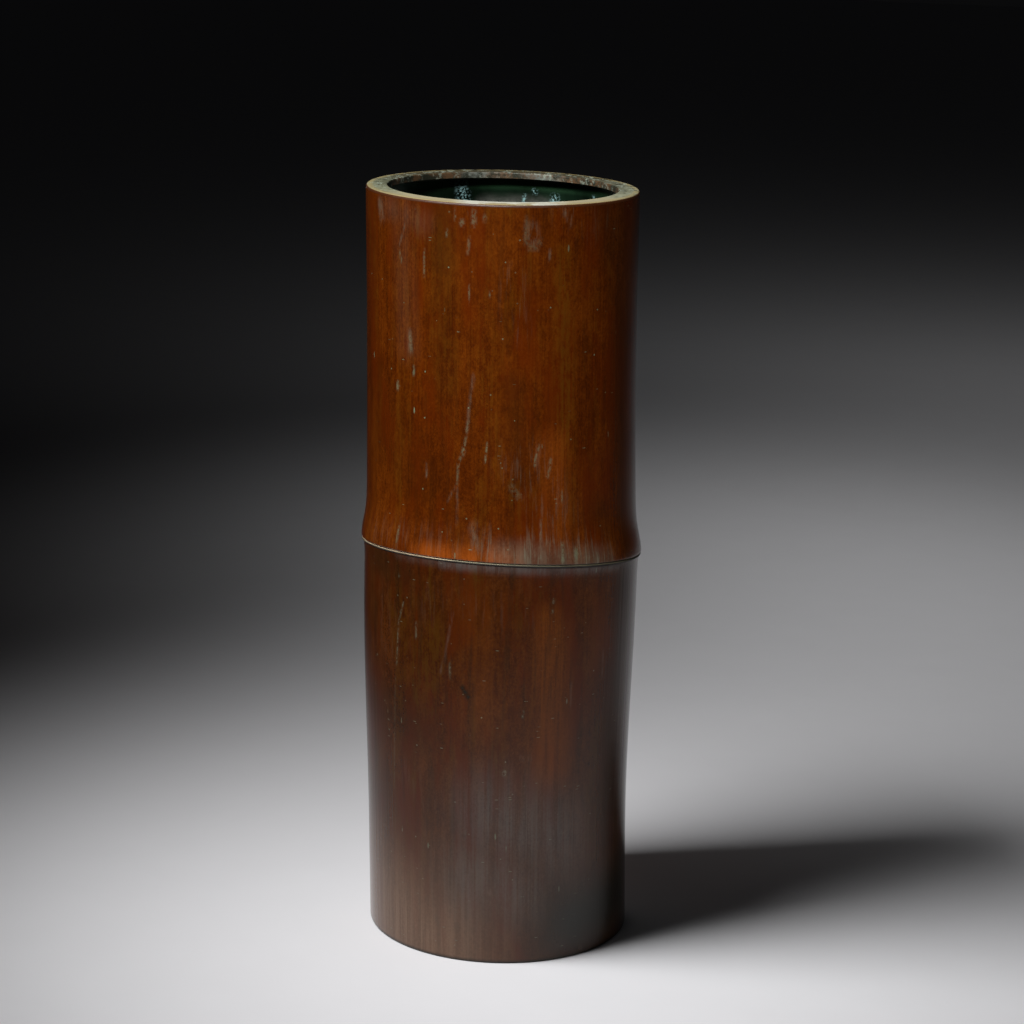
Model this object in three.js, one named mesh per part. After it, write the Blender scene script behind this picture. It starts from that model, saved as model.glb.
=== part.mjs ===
// A bronze flower vessel in the form of a cut length of bamboo.
// Two tubes meet at a slanted node, with a thin bead ring between them. A flat ring closes the top
// of the wall around the mouth, a disc closes the foot, and runs of solder seal the three joints.
// Millimetres, +Z up. The origin lies under the middle of the vessel, on the surface it stands on.
import * as THREE from 'three';

// Overall sizes
const HEIGHT = 280;
const NODE_HEIGHT = 146.9;
const CULM_RADIUS = 50.75; // outside of the lower tube just under the node
const WALL = 3;
const FIT_GAP = 0.3; // clearance between round faces
const SEAT_GAP = 0.2; // clearance between the slanted flat faces at the node

// Outline, as steps from the culm radius
const FOOT_INSET = 1.9;
const SHOULDER_PROUD = 1.25;
const WAIST_INSET = 1.6;
const RIM_INSET = 1.35;

// Lengths over which the outline changes
const SWELL_START = 38; // height above the floor where the lower tube starts to swell
const SWELL_END_DROP = 13; // distance below the node where it is at its full radius
const FLARE_ROUND_LENGTH = 8.8; // convex part of the flare above the node
const FLARE_ROUND_SHARE = 0.59;
const FLARE_TAIL_LENGTH = 31; // hollow part of the flare, which dies away upwards
const MOUTH_FLARE_DROP = 45; // distance below the top where the mouth starts to widen
const MOUTH_STRAIGHT = 8; // straight stretch at the very top

// Growth of the culm
const RIM_LEAN = 5.3; // sideways, from foot to rim
const NODE_LEAN = 2.4; // sideways, from foot to node
const LOWER_BOW = 0.8; // sideways, at the middle of the lower internode
const UPPER_BOW = 0.25; // sideways, at the middle of the upper internode
const NODE_TILT_SIDE = 1.85; // degrees, high on the -X side
const NODE_TILT_DEPTH = 6.1; // degrees, high on the -Y side
const NODE_TILT_REACH = 12; // distance from the node over which the full tilt holds
const LEVEL_END = 12; // stretch at the foot and at the rim that stays level

// Node
const BEAD_HEIGHT = 0.8;
const BEAD_PROUD = 1.1; // beyond the culm radius
const SHOULDER_ROUND = 0.5;
const COVE_FLARE = 0.5; // widening of the lower tube right under the bead
const COVE_REACH = 2.6;
const LAP_HEIGHT = 6; // how far the neck of the lower tube runs up inside the upper one
const NECK_WALL = 1.8;
const NECK_TAPER = 5;

// Rim ring
const RIM_WIDTH = 7.8;
const RIM_LIP = 1; // thickness where it lies on the wall
const RIM_THICKNESS = 2.2; // thickness where it drops into the bore
const RIM_OUTER_ROUND = 0.8;
const RIM_INNER_ROUND = 0.5;

// Foot and base plate
const FOOT_RECESS = 2; // height of the plate's underside above the floor
const PLATE_THICKNESS = 2.5;
const FOOT_ROUND = 0.6;
const REBATE_SHARE = 0.45; // share of the foot's wall that is cut back to seat the plate

// Solder
const SOLDER_LEG = 1.3;
const SOLDER_STANDOFF = 0.7; // height of the foot's solder above the floor

// Fineness of the facets
const AROUND = 60;
const LONG_STATIONS = 14; // along the outside of a tube
const BORE_STATIONS = 7; // along the inside of a tube
const ARC_STATIONS = 3; // along a rounded edge
const STATION_CROWDING = 2; // how strongly the outside's stations crowd towards the node

// Places that follow from the sizes
const footRadius = CULM_RADIUS - FOOT_INSET;
const shoulderRadius = CULM_RADIUS + SHOULDER_PROUD;
const waistRadius = CULM_RADIUS - WAIST_INSET;
const rimRadius = CULM_RADIUS - RIM_INSET;
const beadRadius = CULM_RADIUS + BEAD_PROUD;
const lowerTop = NODE_HEIGHT - BEAD_HEIGHT / 2 - SEAT_GAP;
const upperBottom = NODE_HEIGHT + BEAD_HEIGHT / 2 + SEAT_GAP;
const shoulderHeight = upperBottom + SHOULDER_ROUND;
const lapTop = upperBottom + LAP_HEIGHT;
const rimSeat = HEIGHT - RIM_LIP;
const plateTop = FOOT_RECESS + PLATE_THICKNESS;

/** Outside radius of the upper tube at a height: a flare over the node and a slight one at the mouth. */
function upperRadius(z) {
  const rise = z - shoulderHeight;
  const round = FLARE_ROUND_SHARE * Math.exp(-((rise / FLARE_ROUND_LENGTH) ** 2));
  const tail = (1 - FLARE_ROUND_SHARE) * Math.exp(-rise / FLARE_TAIL_LENGTH);
  const opening = THREE.MathUtils.smoothstep(z, HEIGHT - MOUTH_FLARE_DROP, HEIGHT - MOUTH_STRAIGHT);
  return waistRadius + (shoulderRadius - waistRadius) * (round + tail) + (rimRadius - waistRadius) * opening;
}

/** Radius of the lower tube at a height, without the cove under the bead: an S curve from foot to node. */
function lowerRadius(z) {
  const swell = THREE.MathUtils.smoothstep(z, SWELL_START, NODE_HEIGHT - SWELL_END_DROP);
  return THREE.MathUtils.lerp(footRadius, CULM_RADIUS, swell);
}

/** Extra radius of the lower tube close under the bead. */
function coveFlare(z) {
  return COVE_FLARE * Math.exp((z - lowerTop) / COVE_REACH);
}

const socketRadius = upperRadius(lapTop) - WALL;
const neckRadius = socketRadius - FIT_GAP;
const neckBore = neckRadius - NECK_WALL;
const mouthBore = upperRadius(rimSeat) - WALL;
const mouthRadius = rimRadius - RIM_WIDTH;
const footBore = lowerRadius(0) - WALL;
const rebateRadius = footBore + WALL * REBATE_SHARE;

/** Points of a formula at evenly spaced shares from 0 to 1. */
function stations(count, pointAt) {
  return Array.from({ length: count + 1 }, (_, i) => pointAt(i / count));
}

/** Points of an arc in the (radius, height) plane, by its centre, radius and end angles in degrees. */
function arc(centreR, centreZ, radius, startDegrees, endDegrees) {
  return stations(ARC_STATIONS, (share) => {
    const angle = THREE.MathUtils.degToRad(THREE.MathUtils.lerp(startDegrees, endDegrees, share));
    return new THREE.Vector2(centreR + radius * Math.cos(angle), centreZ + radius * Math.sin(angle));
  });
}

/** Point of an outline by radius and height. */
function at(radius, z) {
  return new THREE.Vector2(radius, z);
}

/** Share of the node's tilt at a height: full around the node and none at the foot and the rim. */
function tiltShare(z) {
  const rising = THREE.MathUtils.smoothstep(z, LEVEL_END, NODE_HEIGHT - NODE_TILT_REACH);
  const falling = THREE.MathUtils.smoothstep(z, NODE_HEIGHT + NODE_TILT_REACH, HEIGHT - LEVEL_END);
  return rising * (1 - falling);
}

/** Sideways place of the culm's axis at a height: each internode leans evenly and bows a little.
 *  Half of the whole lean lies on either side of the origin. */
function axisShift(z) {
  const lower = THREE.MathUtils.clamp(z / NODE_HEIGHT, 0, 1);
  const upper = THREE.MathUtils.clamp((z - NODE_HEIGHT) / (HEIGHT - NODE_HEIGHT), 0, 1);
  const lean = NODE_LEAN * lower + (RIM_LEAN - NODE_LEAN) * upper;
  const bow = LOWER_BOW * Math.sin(Math.PI * lower) + UPPER_BOW * Math.sin(Math.PI * upper);
  return RIM_LEAN / 2 - lean - bow;
}

/** Bends a straight turned form to the leaning axis and slants it around the node. */
function grow(geometry) {
  const slopeX = -Math.tan(THREE.MathUtils.degToRad(NODE_TILT_SIDE));
  const slopeY = -Math.tan(THREE.MathUtils.degToRad(NODE_TILT_DEPTH));
  const position = geometry.getAttribute('position');
  for (let i = 0; i < position.count; i += 1) {
    const x = position.getX(i);
    const y = position.getY(i);
    const z = position.getZ(i);
    position.setX(i, x + axisShift(z));
    position.setZ(i, z + tiltShare(z) * (slopeX * x + slopeY * y));
  }
  geometry.computeVertexNormals();
  return geometry;
}

/** One turned piece: an outline carried round the culm's axis, then bent to the culm's growth. */
function turnedPiece(name, outline, material) {
  const geometry = new THREE.LatheGeometry(outline, AROUND);
  geometry.rotateX(Math.PI / 2);
  const piece = new THREE.Mesh(grow(geometry), material);
  piece.name = name;
  return piece;
}

/** An outline that closes on its first point. */
function closed(points) {
  return [...points, points[0].clone()];
}

/** A patinated bronze finish. */
function bronze(color, roughness, metalness) {
  return new THREE.MeshStandardMaterial({ color, roughness, metalness });
}

/** The upper internode: its flared outside, its bore, and the straight socket for the lower tube's neck. */
function upperCulm() {
  const length = rimSeat - shoulderHeight;
  const outside = stations(LONG_STATIONS, (share) => {
    const z = shoulderHeight + length * share ** STATION_CROWDING;
    return at(upperRadius(z), z);
  });
  const bore = stations(BORE_STATIONS, (share) => {
    const z = THREE.MathUtils.lerp(rimSeat, lapTop, share);
    return at(upperRadius(z) - WALL, z);
  });
  const underShoulder = arc(shoulderRadius - SHOULDER_ROUND, shoulderHeight, SHOULDER_ROUND, -90, 0);
  const outline = [...underShoulder.slice(0, -1), ...outside, ...bore, at(socketRadius, upperBottom)];
  return turnedPiece('upper_culm', closed(outline), bronze('#5b2b0c', 0.42, 0.55));
}

/** The lower internode: its foot, its swelling outside, the neck that enters the upper tube, and its bore. */
function lowerCulm() {
  const footEdge = arc(footRadius - FOOT_ROUND, FOOT_ROUND, FOOT_ROUND, -90, 0);
  const outside = stations(LONG_STATIONS, (share) => {
    const z = lowerTop - (lowerTop - FOOT_ROUND) * (1 - share) ** STATION_CROWDING;
    return at(lowerRadius(z) + coveFlare(z), z);
  });
  const neck = [
    at(neckRadius, lowerTop),
    at(neckRadius, lapTop),
    at(neckBore, lapTop),
    at(neckBore, lowerTop),
  ];
  const bore = stations(BORE_STATIONS, (share) => {
    const z = THREE.MathUtils.lerp(lowerTop - NECK_TAPER, plateTop, share);
    return at(lowerRadius(z) - WALL, z);
  });
  const seat = [at(rebateRadius, plateTop), at(rebateRadius, 0)];
  const outline = [...footEdge.slice(0, -1), ...outside, ...neck, ...bore, ...seat];
  return turnedPiece('lower_culm', closed(outline), bronze('#41281a', 0.38, 0.55));
}

/** The bead: a flat ring round the neck, with a half-round nose that stands out at the node. */
function nodeRing() {
  const inner = neckRadius + FIT_GAP;
  const noseRadius = BEAD_HEIGHT / 2;
  const nose = arc(beadRadius - noseRadius, NODE_HEIGHT, noseRadius, -90, 90);
  const outline = [at(inner, NODE_HEIGHT - noseRadius), ...nose, at(inner, NODE_HEIGHT + noseRadius)];
  return turnedPiece('node_ring', closed(outline), bronze('#b9a37c', 0.35, 0.8));
}

/** The rim: a flat ring that lies on the wall, drops into the bore, and narrows the mouth. */
function rimRing() {
  const register = mouthBore - FIT_GAP;
  const underside = HEIGHT - RIM_THICKNESS;
  const outerEdge = arc(rimRadius - RIM_OUTER_ROUND, HEIGHT - RIM_OUTER_ROUND, RIM_OUTER_ROUND, 0, 90);
  const innerEdge = arc(mouthRadius + RIM_INNER_ROUND, HEIGHT - RIM_INNER_ROUND, RIM_INNER_ROUND, 90, 180);
  const outline = [
    at(register, underside),
    at(register, rimSeat),
    at(rimRadius, rimSeat),
    ...outerEdge,
    ...innerEdge,
    at(mouthRadius, underside),
  ];
  return turnedPiece('rim_ring', closed(outline), bronze('#a59b78', 0.4, 0.7));
}

/** The disc that closes the foot, seated in its rebate from below. */
function basePlate() {
  const radius = rebateRadius - FIT_GAP;
  const outline = [at(0, FOOT_RECESS), at(radius, FOOT_RECESS), at(radius, plateTop), at(0, plateTop)];
  return turnedPiece('base_plate', outline, bronze('#2b2f22', 0.6, 0.4));
}

/** A run of solder in the corner between a bore and a flat face. A leg below zero hangs under the face. */
function solderRun(name, bore, face, leg) {
  const radius = bore - FIT_GAP;
  const low = at(radius, Math.min(face, face + leg));
  const high = at(radius, Math.max(face, face + leg));
  const toe = at(radius - Math.abs(leg), face);
  return turnedPiece(name, closed([low, high, toe]), bronze('#6b6a5e', 0.55, 0.6));
}

const vessel = new THREE.Group();
vessel.add(
  lowerCulm(),
  upperCulm(),
  nodeRing(),
  rimRing(),
  basePlate(),
  solderRun('rim_solder', mouthBore, HEIGHT - RIM_THICKNESS, -SOLDER_LEG),
  solderRun('node_solder', socketRadius, lapTop + SEAT_GAP, SOLDER_LEG),
  solderRun('base_solder', rebateRadius, FOOT_RECESS, SOLDER_STANDOFF - FOOT_RECESS),
);

export default vessel;
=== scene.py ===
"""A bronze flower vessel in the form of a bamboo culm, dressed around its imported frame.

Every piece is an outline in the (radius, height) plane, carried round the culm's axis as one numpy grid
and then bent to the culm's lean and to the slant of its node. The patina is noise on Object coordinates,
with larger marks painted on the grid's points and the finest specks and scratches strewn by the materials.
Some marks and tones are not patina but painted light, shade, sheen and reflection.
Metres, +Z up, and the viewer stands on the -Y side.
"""

import logging
import math
from dataclasses import dataclass
from enum import Enum
from typing import ClassVar, NamedTuple, Protocol

import bpy
import numpy as np
from mathutils import Matrix, Vector


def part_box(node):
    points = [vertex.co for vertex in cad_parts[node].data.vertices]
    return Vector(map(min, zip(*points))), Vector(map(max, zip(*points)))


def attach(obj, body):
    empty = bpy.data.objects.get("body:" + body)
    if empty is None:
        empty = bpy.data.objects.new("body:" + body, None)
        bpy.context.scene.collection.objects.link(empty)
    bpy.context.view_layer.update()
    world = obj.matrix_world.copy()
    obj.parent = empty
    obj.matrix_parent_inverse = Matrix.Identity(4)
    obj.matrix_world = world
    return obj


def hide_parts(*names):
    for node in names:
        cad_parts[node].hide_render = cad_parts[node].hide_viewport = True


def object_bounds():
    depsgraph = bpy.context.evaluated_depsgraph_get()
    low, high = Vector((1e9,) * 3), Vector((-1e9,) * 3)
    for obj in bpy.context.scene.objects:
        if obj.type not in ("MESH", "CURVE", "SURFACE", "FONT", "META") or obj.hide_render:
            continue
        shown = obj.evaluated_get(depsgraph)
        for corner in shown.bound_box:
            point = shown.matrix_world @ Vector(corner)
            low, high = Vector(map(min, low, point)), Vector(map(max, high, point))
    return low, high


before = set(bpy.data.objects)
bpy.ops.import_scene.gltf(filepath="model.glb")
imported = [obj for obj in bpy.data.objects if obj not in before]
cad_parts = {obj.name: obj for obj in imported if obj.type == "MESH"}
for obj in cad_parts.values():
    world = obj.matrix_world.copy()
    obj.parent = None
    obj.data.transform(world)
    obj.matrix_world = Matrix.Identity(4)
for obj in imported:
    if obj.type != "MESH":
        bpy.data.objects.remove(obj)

CAD_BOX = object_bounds()
LOG = logging.getLogger("bamboo_vessel")
RIM_NAME = "rim_band"

MM = 0.001
FRONT = -math.pi / 2  # angle of the -Y side, about the axis
COLUMN_CROWDING = 0.3  # share by which columns crowd towards the front
SHARP_CORNER = math.radians(40)  # edges that bend more than this are not smoothed
SAME_POINT = 1e-7  # points of an outline that lie closer than this count as one
SIDE_ROWS = 3  # points along a plain straight side
LEDGE_ROWS = 4  # points along a narrow ledge
PATTERN_RADIUS = 50 * MM  # radius of the cylinder that upright streaks are drawn on
FOOT_SHIFT = 2.65 * MM  # how far the culm's axis stands aside at the foot
CULM_LEAN = 5.3 / 280  # sideways per height
SHADE_PLACES = (0.0, 0.5, 1.0)  # where the deep, middle and bright shade of a patina lie in its tones
SOLDER_LEG = 1.3 * MM  # height of the solder under the rim and at the node
SOLDER_STANDOFF = 0.7 * MM  # how far the solder at the base stays above the floor

Array = np.ndarray
Colour = tuple[float, float, float]
Shades = tuple[Colour, Colour, Colour]
Socket = bpy.types.NodeSocket


# Arrays and outlines


def smooth(low: float, high: float, value: Array | float) -> Array:
    """Rise from 0 at low to 1 at high, along 3t^2 - 2t^3.

    Args:
        low: where the rise starts; it may lie above high, for a fall.
        high: where the rise ends.
        value: one number or a whole array.

    Returns:
        The risen share of each value.
    """
    share = np.clip((np.asarray(value) - low) / (high - low), 0, 1)
    return share * share * (3 - 2 * share)


def wrapped(angle: Array) -> Array:
    """The same angles, between half a turn back and half a turn on."""
    return (angle + math.pi) % (2 * math.pi) - math.pi


def arc(radius: float, height: float, bend: float, start: float, end: float, count: int = 7) -> Array:
    """Points of an arc: the centre plus the bend times (cos, sin) of evenly spaced angles.

    Args:
        radius: the centre's distance from the axis.
        height: the centre's height.
        bend: radius of the arc itself.
        start: first angle in degrees, from outwards.
        end: last angle in degrees.
        count: number of points.

    Returns:
        Rows of (radius, height).
    """
    angle = np.radians(np.linspace(start, end, count))
    return np.stack([radius + bend * np.cos(angle), height + bend * np.sin(angle)], axis=1)


def columns_round(count: int) -> Array:
    """Angles of a grid's columns: p + c sin p for even steps of p, turned so that they crowd in front."""
    step = np.arange(count) * 2 * math.pi / count
    return step + COLUMN_CROWDING * np.sin(step) + FRONT - math.pi


@dataclass(frozen=True)
class Culm:
    """The form that every piece shares: radii by height, the lean of the axis and the slant of the node."""

    height: float
    node_height: float
    radius: float = 50.75 * MM
    wall: float = 3 * MM
    fit_gap: float = 0.3 * MM
    seat_gap: float = 0.2 * MM
    foot_inset: float = 1.9 * MM
    shoulder_proud: float = 1.25 * MM
    waist_inset: float = 1.6 * MM
    rim_inset: float = 1.35 * MM
    swell_start: float = 38 * MM
    swell_end_drop: float = 13 * MM
    flare_round_length: float = 8.8 * MM
    flare_round_share: float = 0.59
    flare_tail_length: float = 31 * MM
    mouth_flare_drop: float = 45 * MM
    mouth_straight: float = 8 * MM
    rim_lean: float = 5.3 * MM
    node_lean: float = 2.4 * MM
    lower_bow: float = 0.8 * MM
    upper_bow: float = 0.25 * MM
    tilt_side: float = 1.85  # degrees, high on the -X side
    tilt_depth: float = 6.1  # degrees, high on the -Y side
    tilt_reach: float = 12 * MM
    level_end: float = 12 * MM
    bead_height: float = 0.8 * MM
    shoulder_round: float = 0.5 * MM
    cove_flare: float = 0.5 * MM
    cove_reach: float = 2.6 * MM
    lap_height: float = 6 * MM
    rim_lip: float = 1 * MM

    @classmethod
    def measured(cls) -> "Culm":
        """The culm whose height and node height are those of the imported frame."""
        low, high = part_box("node_ring")
        return cls(height=CAD_BOX[1].z, node_height=(low.z + high.z) / 2)

    @property
    def lower_top(self) -> float:
        """Height where the lower tube's outside ends."""
        return self.node_height - self.bead_height / 2 - self.seat_gap

    @property
    def upper_bottom(self) -> float:
        """Height where the upper tube starts."""
        return self.node_height + self.bead_height / 2 + self.seat_gap

    @property
    def shoulder_height(self) -> float:
        """Height of the upper tube's widest line."""
        return self.upper_bottom + self.shoulder_round

    @property
    def lap_top(self) -> float:
        """Height where the lower tube's neck ends inside the upper tube."""
        return self.upper_bottom + self.lap_height

    @property
    def rim_seat(self) -> float:
        """Height where the rim ring lies on the wall."""
        return self.height - self.rim_lip

    @property
    def rim_radius(self) -> float:
        """Outside radius at the rim."""
        return self.radius - self.rim_inset

    @property
    def socket_radius(self) -> float:
        """Inside radius of the upper tube where the neck enters it."""
        return float(self.upper_radius(self.lap_top)) - self.wall

    @property
    def mouth_bore(self) -> float:
        """Inside radius of the upper tube under the rim ring."""
        return float(self.upper_radius(self.rim_seat)) - self.wall

    def upper_radius(self, z: Array | float) -> Array:
        """Outside of the upper tube: a waist, a rounded flare with a tail at the node, a slight one on top.

        Args:
            z: heights.

        Returns:
            Radii.
        """
        waist = self.radius - self.waist_inset
        flare = self.shoulder_proud + self.waist_inset
        rise = np.asarray(z) - self.shoulder_height
        rounded = self.flare_round_share * np.exp(-((rise / self.flare_round_length) ** 2))
        tail = (1 - self.flare_round_share) * np.exp(-rise / self.flare_tail_length)
        opening = smooth(self.height - self.mouth_flare_drop, self.height - self.mouth_straight, z)
        return waist + flare * (rounded + tail) + (self.rim_radius - waist) * opening

    def lower_radius(self, z: Array | float) -> Array:
        """Radius of the lower tube: an S curve from the foot's radius to the culm's."""
        swell = smooth(self.swell_start, self.node_height - self.swell_end_drop, z)
        return self.radius - self.foot_inset * (1 - swell)

    def cove(self, z: Array) -> Array:
        """Extra radius of the lower tube close under the bead, which dies away downwards."""
        return self.cove_flare * np.exp((z - self.lower_top) / self.cove_reach)

    def grow(self, x: Array, y: Array, z: Array) -> Array:
        """Bend straight turned points to the culm: x moves with the axis, z with the slant around the node.

        Args:
            x: points' x before the bend.
            y: points' y.
            z: points' height before the bend.

        Returns:
            Rows of (x, y, z).
        """
        lower = np.clip(z / self.node_height, 0, 1)
        upper = np.clip((z - self.node_height) / (self.height - self.node_height), 0, 1)
        lean = self.node_lean * lower + (self.rim_lean - self.node_lean) * upper
        bow = self.lower_bow * np.sin(math.pi * lower) + self.upper_bow * np.sin(math.pi * upper)
        rising = smooth(self.level_end, self.node_height - self.tilt_reach, z)
        falling = smooth(self.node_height + self.tilt_reach, self.height - self.level_end, z)
        slope_x = -math.tan(math.radians(self.tilt_side))
        slope_y = -math.tan(math.radians(self.tilt_depth))
        slanted = z + rising * (1 - falling) * (slope_x * x + slope_y * y)
        return np.stack([x + self.rim_lean / 2 - lean - bow, y, slanted], axis=-1)


@dataclass(frozen=True)
class Flutes:
    """Fine upright grooves and a slow unevenness in the radius of a turned wall."""

    seed: int
    depth: float = 0.009 * MM
    unevenness: float = 0.05 * MM
    coarsest: int = 60  # grooves round the culm
    finest: int = 300
    waves: int = 70
    fade_length: float = 45 * MM  # height over which one set of grooves gives way to the other
    lobes: tuple[int, int] = (2, 3)  # slow waves round the culm
    twist: float = 30  # radians per metre by which the second of them turns with height
    swell_rate: float = 40  # radians per metre of the slow waves' rise and fall

    def relief(self, angle: Array, height: Array) -> Array:
        """Extra radius: two sums of random cosines that fade into each other with height, and a slow swell.

        Args:
            angle: angles of the columns.
            height: heights of the rows.

        Returns:
            A grid of rows by columns.
        """
        draw = np.random.default_rng(self.seed)
        counts = draw.integers(self.coarsest, self.finest, self.waves)
        phases = draw.uniform(0, 2 * math.pi, (2, self.waves, 1))
        low, high = np.cos(counts[:, None] * angle + phases).sum(axis=1) / math.sqrt(self.waves / 2)
        share = 0.5 + 0.5 * np.sin(height / self.fade_length * math.pi + self.seed)[:, None]
        first, second, third = draw.uniform(0, 2 * math.pi, 3)
        rows = height[:, None]
        swell = np.cos(self.lobes[0] * angle + first)
        swell = swell + np.cos(self.lobes[1] * angle + second + self.twist * rows)
        swell = swell * np.sin(self.swell_rate * rows + third)
        return self.depth * (low * share + high * (1 - share)) + self.unevenness / 2 * swell


# Meshes


@dataclass
class Outline:
    """A loop in the (radius, height) plane, up the outside and down the inside."""

    points: Array
    inner: Array  # 1 on the well's side and 0 on the weathered one

    @classmethod
    def joined(cls, *stretches: tuple[Array, float]) -> "Outline":
        """Join stretches of points into one loop.

        Args:
            *stretches: points with 0 for the weathered side or 1 for the well's side.

        Returns:
            The loop, without points that repeat the one before.
        """
        points = np.concatenate([part for part, _ in stretches])
        inner = np.concatenate([np.full(len(part), side) for part, side in stretches])
        kept = np.linalg.norm(points - np.roll(points, 1, axis=0), axis=1) > SAME_POINT
        return cls(points[kept], inner[kept])


def mesh_object(name: str, points: Array, loops: list[Array]) -> bpy.types.Object:
    """Put points and faces into a new smooth mesh object at the origin.

    Args:
        name: the piece's name.
        points: rows of (x, y, z).
        loops: arrays of faces, each with its own number of corners.

    Returns:
        The linked object.
    """
    mesh = bpy.data.meshes.new(name)
    mesh.vertices.add(len(points))
    mesh.vertices.foreach_set("co", points.astype(np.float32).ravel())
    corners = np.concatenate([faces.ravel() for faces in loops])
    sizes = np.concatenate([np.full(len(faces), faces.shape[1]) for faces in loops])
    mesh.loops.add(len(corners))
    mesh.loops.foreach_set("vertex_index", corners.astype(np.int32))
    mesh.polygons.add(len(sizes))
    mesh.polygons.foreach_set("loop_start", (np.cumsum(sizes) - sizes).astype(np.int32))
    mesh.polygons.foreach_set("use_smooth", np.ones(len(sizes), dtype=bool))
    mesh.update(calc_edges=True)
    mesh.validate()
    mesh.set_sharp_from_angle(angle=SHARP_CORNER)
    piece = bpy.data.objects.new(name, mesh)
    bpy.context.scene.collection.objects.link(piece)
    return piece


def grid_faces(rows: int, columns: int, closed: bool) -> Array:
    """Corners of the squares between neighbouring rows and columns, counter-clockwise from outside.

    Args:
        rows: number of rows along the outline.
        columns: number of columns round the axis, which always close.
        closed: whether the last row joins the first.

    Returns:
        Rows of four vertex numbers.
    """
    row = np.arange(rows if closed else rows - 1)[:, None]
    column = np.arange(columns)[None, :]
    above = (row + 1) % rows * columns
    beside = (column + 1) % columns
    here = row * columns
    return np.stack([here + column, here + beside, above + beside, above + column], axis=-1).reshape(-1, 4)


def fan_faces(hub: int, first: int, columns: int, up: bool) -> Array:
    """Corners of the triangles between a middle point and the ring of points around it.

    Args:
        hub: number of the middle point.
        first: number of the ring's first point.
        columns: number of points in the ring, which closes.
        up: whether the triangles face up.

    Returns:
        Rows of three vertex numbers.
    """
    column = np.arange(columns)
    here = first + column
    beside = first + (column + 1) % columns
    middle = np.full_like(column, hub)
    return np.stack([middle, here, beside] if up else [middle, beside, here], axis=1)


def set_values(piece: bpy.types.Object, name: str, values: Array) -> None:
    """Store one number per point on a piece, in the mesh's order, for its material to read."""
    attribute = piece.data.attributes.new(name, "FLOAT", "POINT")
    attribute.data.foreach_set("value", np.asarray(values, dtype=np.float32).ravel())


def set_rows(piece: bpy.types.Object, name: str, values: Array) -> None:
    """Store one number per row of a piece's grid on all the points of that row."""
    set_values(piece, name, np.repeat(values, len(piece.data.vertices) // len(values)))


def turned(name: str, culm: Culm, outline: Outline, angle: Array, relief: Array) -> bpy.types.Object:
    """Carry a closed outline round the axis, as (r cos a, r sin a, z), and bend it to the culm.

    Args:
        name: the piece's name.
        culm: the form to bend to.
        outline: the loop to carry.
        angle: angles of the columns.
        relief: extra radius of every grid point.

    Returns:
        The piece, with its "inner" attribute.
    """
    radius = outline.points[:, :1] + relief
    height = np.broadcast_to(outline.points[:, 1:], radius.shape)
    points = culm.grow(radius * np.cos(angle), radius * np.sin(angle), height).reshape(-1, 3)
    piece = mesh_object(name, points, [grid_faces(*radius.shape, closed=True)])
    set_rows(piece, "inner", outline.inner)
    return piece


# Marks on the patina, and painted light, shade, sheen and reflection


class Deposit(Enum):
    """What a mark leaves on the surface, by the name of the attribute that holds it: patina, salts and wear,
    or painted light, shade, sheen and reflection.
    """

    VERDIGRIS = "verdigris"
    FILM = "film"
    VEIL = "veil"
    # Umber stains, and broad painted shade
    UMBER_AND_SHADE = "umber_and_shade"
    # Bright orange patina, laid in places as painted light
    GLOW = "glow_and_light"
    OLIVE = "olive"
    # Painted sheen: a grey reflection of the floor and lamps, laid as colour
    BLOOM = "painted_sheen"
    # Paler brown laid as painted light, with wear
    WEAR_AND_LIGHT = "wear_and_light"
    CRUST = "crust"
    # Painted reflection of a lamp on the well's wall
    PAINTED_REFLECTION = "painted_reflection"

    @property
    def in_well(self) -> bool:
        """Whether it lies on the well's side of the wall."""
        return self in (Deposit.CRUST, Deposit.PAINTED_REFLECTION)


@dataclass(frozen=True)
class Mark:
    """A drip, patch or streak on a path of (degrees round from the front, millimetres up the culm)."""

    deposit: Deposit
    width: float  # millimetres
    strength: float
    path: tuple[tuple[float, float], ...]

    def cover(self, along: Array, height: Array, radius: float) -> Array:
        """Strength of the mark: full on its path, falling smoothly to none at half its width from it.

        Args:
            along: angles of the points from the front, in radians.
            height: heights of the points.
            radius: radius at which the angles are measured as lengths.

        Returns:
            Strength at each point.
        """
        path = np.array(self.path, dtype=float)
        turn = np.radians(path[:, 0])
        z = path[:, 1] * MM
        nearest = np.full(np.broadcast(along, height).shape, np.inf)
        for i in range(len(path) - 1):
            dx, dz = (turn[i + 1] - turn[i]) * radius, z[i + 1] - z[i]
            aside = wrapped(along - turn[i]) * radius
            share = np.clip((aside * dx + (height - z[i]) * dz) / (dx * dx + dz * dz), 0, 1)
            gap = np.hypot(aside - share * dx, height - z[i] - share * dz)
            nearest = np.minimum(nearest, gap)
        return self.strength * (1 - smooth(0, self.width * MM / 2, nearest))


def marks(deposit: Deposit, *rows: tuple) -> tuple[Mark, ...]:
    """Marks of one deposit, each from a row of its width, its strength and the points of its path."""
    return tuple(Mark(deposit, width, strength, tuple(path)) for width, strength, *path in rows)


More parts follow.
